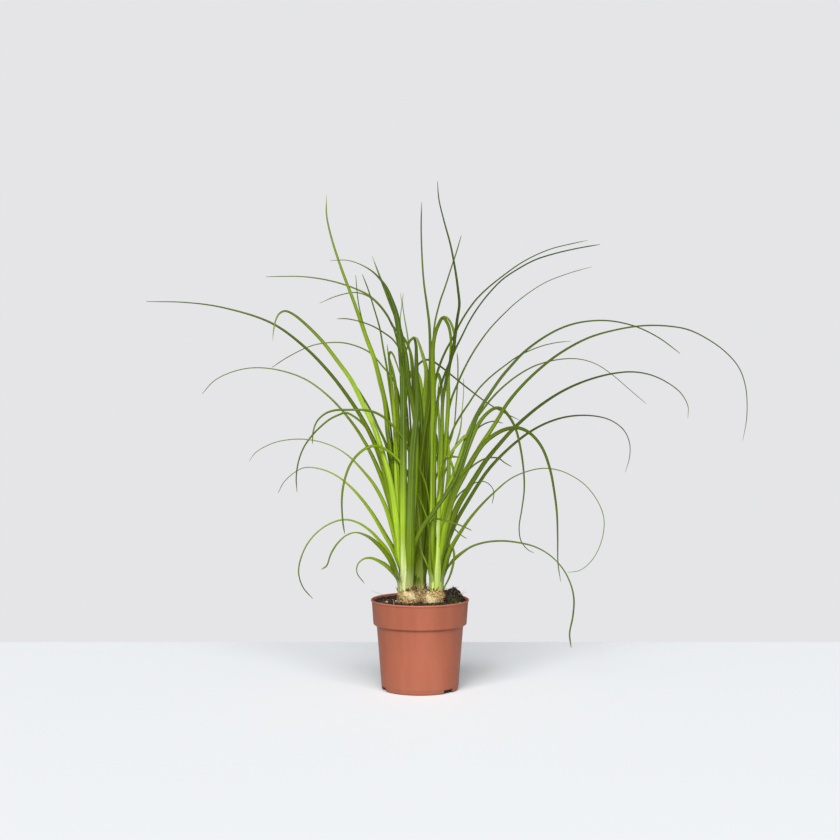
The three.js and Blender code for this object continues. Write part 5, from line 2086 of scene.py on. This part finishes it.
    def rootlets(self) -> Object:
        """Models the fine bare rootlets that stick out of the clod and the soil.

        Returns:
            The piece.
        """
        roots = (
            ((49, 2, 113), (51.5, 0, 117), (54, -1, 119), (56.2, -1.5, 118.4), (57.4, -2, 120.4)),
            ((50, 6, 113), (52.4, 5, 118), (53.2, 5, 121.4), (55, 4, 122.4)),
            ((47, -2, 116), (50.2, -4, 119), (52.6, -4.4, 118), (54.2, -4.6, 119.6), (54.8, -4.2, 121.8)),
            ((41, 4, 122), (43.5, 3, 125), (46.4, 2, 124.6), (48.6, 2, 126)),
            ((34, 5, 120), (33, 3, 123.6), (30.6, 2, 125), (29.6, 2.4, 127)),
            ((38, 10, 121), (39, 12, 125), (42, 14, 126.6)),
            ((30, -3, 112), (31.5, -6, 118), (30, -8, 121)),
            (
                (-40, 30, 108.6), (-45, 29.4, 111.6), (-48.3, 29, 113.1), (-54.4, 28, 114.8),
                (-60.3, 27, 117.8),
            ),
        )
        return smooth(joined("rootlets", [self.strand(points) for points in roots]), 60)

    def dress(self, effects: Effects) -> None:
        """Builds the soil and what lies and grows on it, and shows it all.

        Args:
            effects: the shared effects.
        """
        soil, clod = self.bed(), self.clod()
        tree = surface_tree(soil, clod)
        peat = Peat().make(effects)
        crumb = Litter("peat_crumb", linear(16, 12, 9), linear(60, 42, 30)).make(effects)
        pale = Litter("pale_bit", linear(140, 116, 88), linear(214, 200, 178)).make(effects)
        fibre = Litter("peat_fibre", linear(78, 48, 28), linear(172, 126, 82)).make(effects)
        moss = Litter("moss_green", linear(26, 32, 8), linear(80, 92, 26), (0.5, 0.8)).make(effects)
        root = Litter("rootlet_skin", linear(120, 76, 48), linear(196, 156, 116), (0.5, 0.8)).make(effects)
        show(soil, peat, Slot.SOIL, "soil")
        show(clod, peat, Slot.SOIL, "soil")
        show(self.crumbs("soil_crumbs", tree, 900, (0.3, 0.95), anywhere), crumb, Slot.SOIL)
        show(self.crumbs("soil_lumps", tree, 170, (0.9, 2.1), anywhere), crumb, Slot.SOIL)
        show(self.crumbs("pale_bits", tree, 17, (0.5, 1.4), left_front), pale, Slot.SOIL)
        show(self.crumbs("pale_grit", tree, 60, (0.25, 0.6), anywhere), pale, Slot.SOIL)
        show(self.fibres(tree, 210), fibre, Slot.SOIL)
        show(self.moss(tree, 260), moss, Slot.SOIL)
        show(self.rootlets(), root, Slot.SOIL)


# ---------------------------------------------------------------- the studio
@dataclass
class Studio:
    """The pale table, the plain air behind it, the soft lights and the camera."""

    table_back: float = 0.353
    table_front: float = -4.0
    half_width: float = 3.4
    table_depth: float = 0.03
    edge: float = 0.002
    table: Colour = linear(228, 230, 232)
    backdrop: Colour = linear(229, 229, 231)
    air: Colour = linear(236, 240, 246)
    air_strength: float = 0.17
    lamps: tuple[tuple[str, float, float, float], ...] = (
        ("lamp_left", -26, 35, 2.3), ("lamp_front", -2, 35, 2.5), ("lamp_right", 26, 35, 1.35),
    )
    lamp_distance: float = 5.0
    lamp_spread: float = 26.0
    camera_place: Triple = (0.0, -2.45, 0.461)
    camera_pitch: float = 3.06
    camera_lens: float = 86.4

    def table_finish(self) -> Material:
        """Builds matt card that can be seen from its face only, so that it never hides the plant.

        Returns:
            The material.
        """
        s = Surface("table_card", Specular_IOR_Level=0.1, Roughness=0.9)
        soft = s.spread(s.noise(s.place(), 2.0), (0.3, 0.7), (0.995, 1.0))
        s.feed(Base_Color=s.scaled(self.table[:3], soft))
        clear = s.add("ShaderNodeBsdfTransparent")
        facing = s.add("ShaderNodeNewGeometry").outputs["Backfacing"]
        s.end_in("Material Output", facing, s.shader, clear)
        return s.material

    def table_top(self) -> None:
        """Models the table: a wide top with a softened back edge."""
        with editing(start("studio_table", bpy.ops.mesh.primitive_plane_add, size=2)) as table:
            scale(self.half_width, 1, 1)
            choose(table, lambda place: place.y < 0)
            shift(0, self.table_front + 1, 0)
            choose(table, lambda place: place.y > 0)
            shift(0, self.table_back - 1, 0)
            bpy.ops.mesh.extrude_edges_move(TRANSFORM_OT_translate={"value": (0, 0, -self.table_depth)})
            choose(table, lambda place: place.y > 0 and abs(place.z) < 1e-5)
            bpy.ops.mesh.bevel(offset=self.edge, segments=4, affect="EDGES")
        smooth(table, 60)
        table.data.materials.append(self.table_finish())

    def lamp(self, name: str, azimuth: float, height: float, strength: float) -> None:
        """Hangs one broad distant light in front of the plant.

        Args:
            name: the lamp's name.
            azimuth: degrees from the front towards +X.
            height: degrees above the horizon.
            strength: its strength in watts to the square metre.
        """
        turn, lift = math.radians(azimuth), math.radians(height)
        away = Vector((math.sin(turn) * math.cos(lift), -math.cos(turn) * math.cos(lift), math.sin(lift)))
        free_hands()
        bpy.ops.object.light_add(type="SUN", location=away * self.lamp_distance)
        lamp = bpy.context.object
        lamp.name = lamp.data.name = name
        lamp.rotation_euler = away.to_track_quat("Z", "Y").to_euler()
        lamp.data.angle = math.radians(self.lamp_spread)
        lamp.data.energy = strength

    def air_around(self) -> None:
        """Fills the room with dim light, and shows the camera a plain backdrop."""
        world = bpy.data.worlds.new("studio_air")
        world.use_nodes = True
        bench = Bench(world.node_tree)
        dim = bench.nodes["Background"]
        dim.inputs["Color"].default_value = self.air
        dim.inputs["Strength"].default_value = self.air_strength
        plain = bench.add("ShaderNodeBackground", {"Color": self.backdrop, "Strength": 1.0})
        seen = bench.add("ShaderNodeLightPath").outputs["Is Camera Ray"]
        bench.end_in("World Output", seen, dim, plain)
        bpy.context.scene.world = world

    def build(self) -> None:
        """Sets up the studio."""
        scene = bpy.context.scene
        self.table_top()
        for lamp in self.lamps:
            self.lamp(*lamp)
        self.air_around()
        scene.view_settings.view_transform = "Standard"
        free_hands()
        tilt = (math.radians(90 - self.camera_pitch), 0, 0)
        bpy.ops.object.camera_add(location=self.camera_place, rotation=tilt)
        camera = bpy.context.object
        camera.name = camera.data.name = "photo_camera"
        camera.data.lens = self.camera_lens
        camera.data.sensor_width = 36.0
        camera.data.clip_end = 50.0
        scene.camera = camera


# ---------------------------------------------------------------- putting it together
def main() -> None:
    """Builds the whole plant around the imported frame."""
    logging.basicConfig(level=logging.INFO, format="%(message)s")
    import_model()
    effects = Effects()
    pot = NurseryPot()
    Studio().build()
    pot.dress(effects)
    SoilBed(pot, (LEFT, RIGHT, BACK)).dress(effects)
    skin = BulbSkin().make(effects)
    flake = Litter("bulb_scale", linear(64, 34, 18), linear(186, 152, 102), (0.6, 0.9)).make(effects)
    paper = Litter("neck_paper", linear(92, 50, 28), linear(186, 138, 88), (0.6, 0.9)).make(effects)
    # the pale bare patches sit on the front of each bulb, where they are partly a painted highlight
    Bulb(LEFT, lit_bare=(((-9.5, -11, 117), 7.5), ((-17, -10, 119), 5.0))).dress(skin, flake, paper)
    Bulb(RIGHT, lit_bare=(((14.5, -13, 110), 8.5), ((10, -10, 115), 5.0))).dress(skin, flake, paper)
    Bulb(BACK).dress(skin, flake, paper)
    leaf = LeafSkin().make(effects)
    blade = Blade()
    master = blade.master()
    for crown in (LEFT, RIGHT, BACK):
        Tuft(crown, blade).dress(master, leaf)
    bpy.data.objects.remove(master)
    free_hands()


if __name__ == "__main__":
    main()
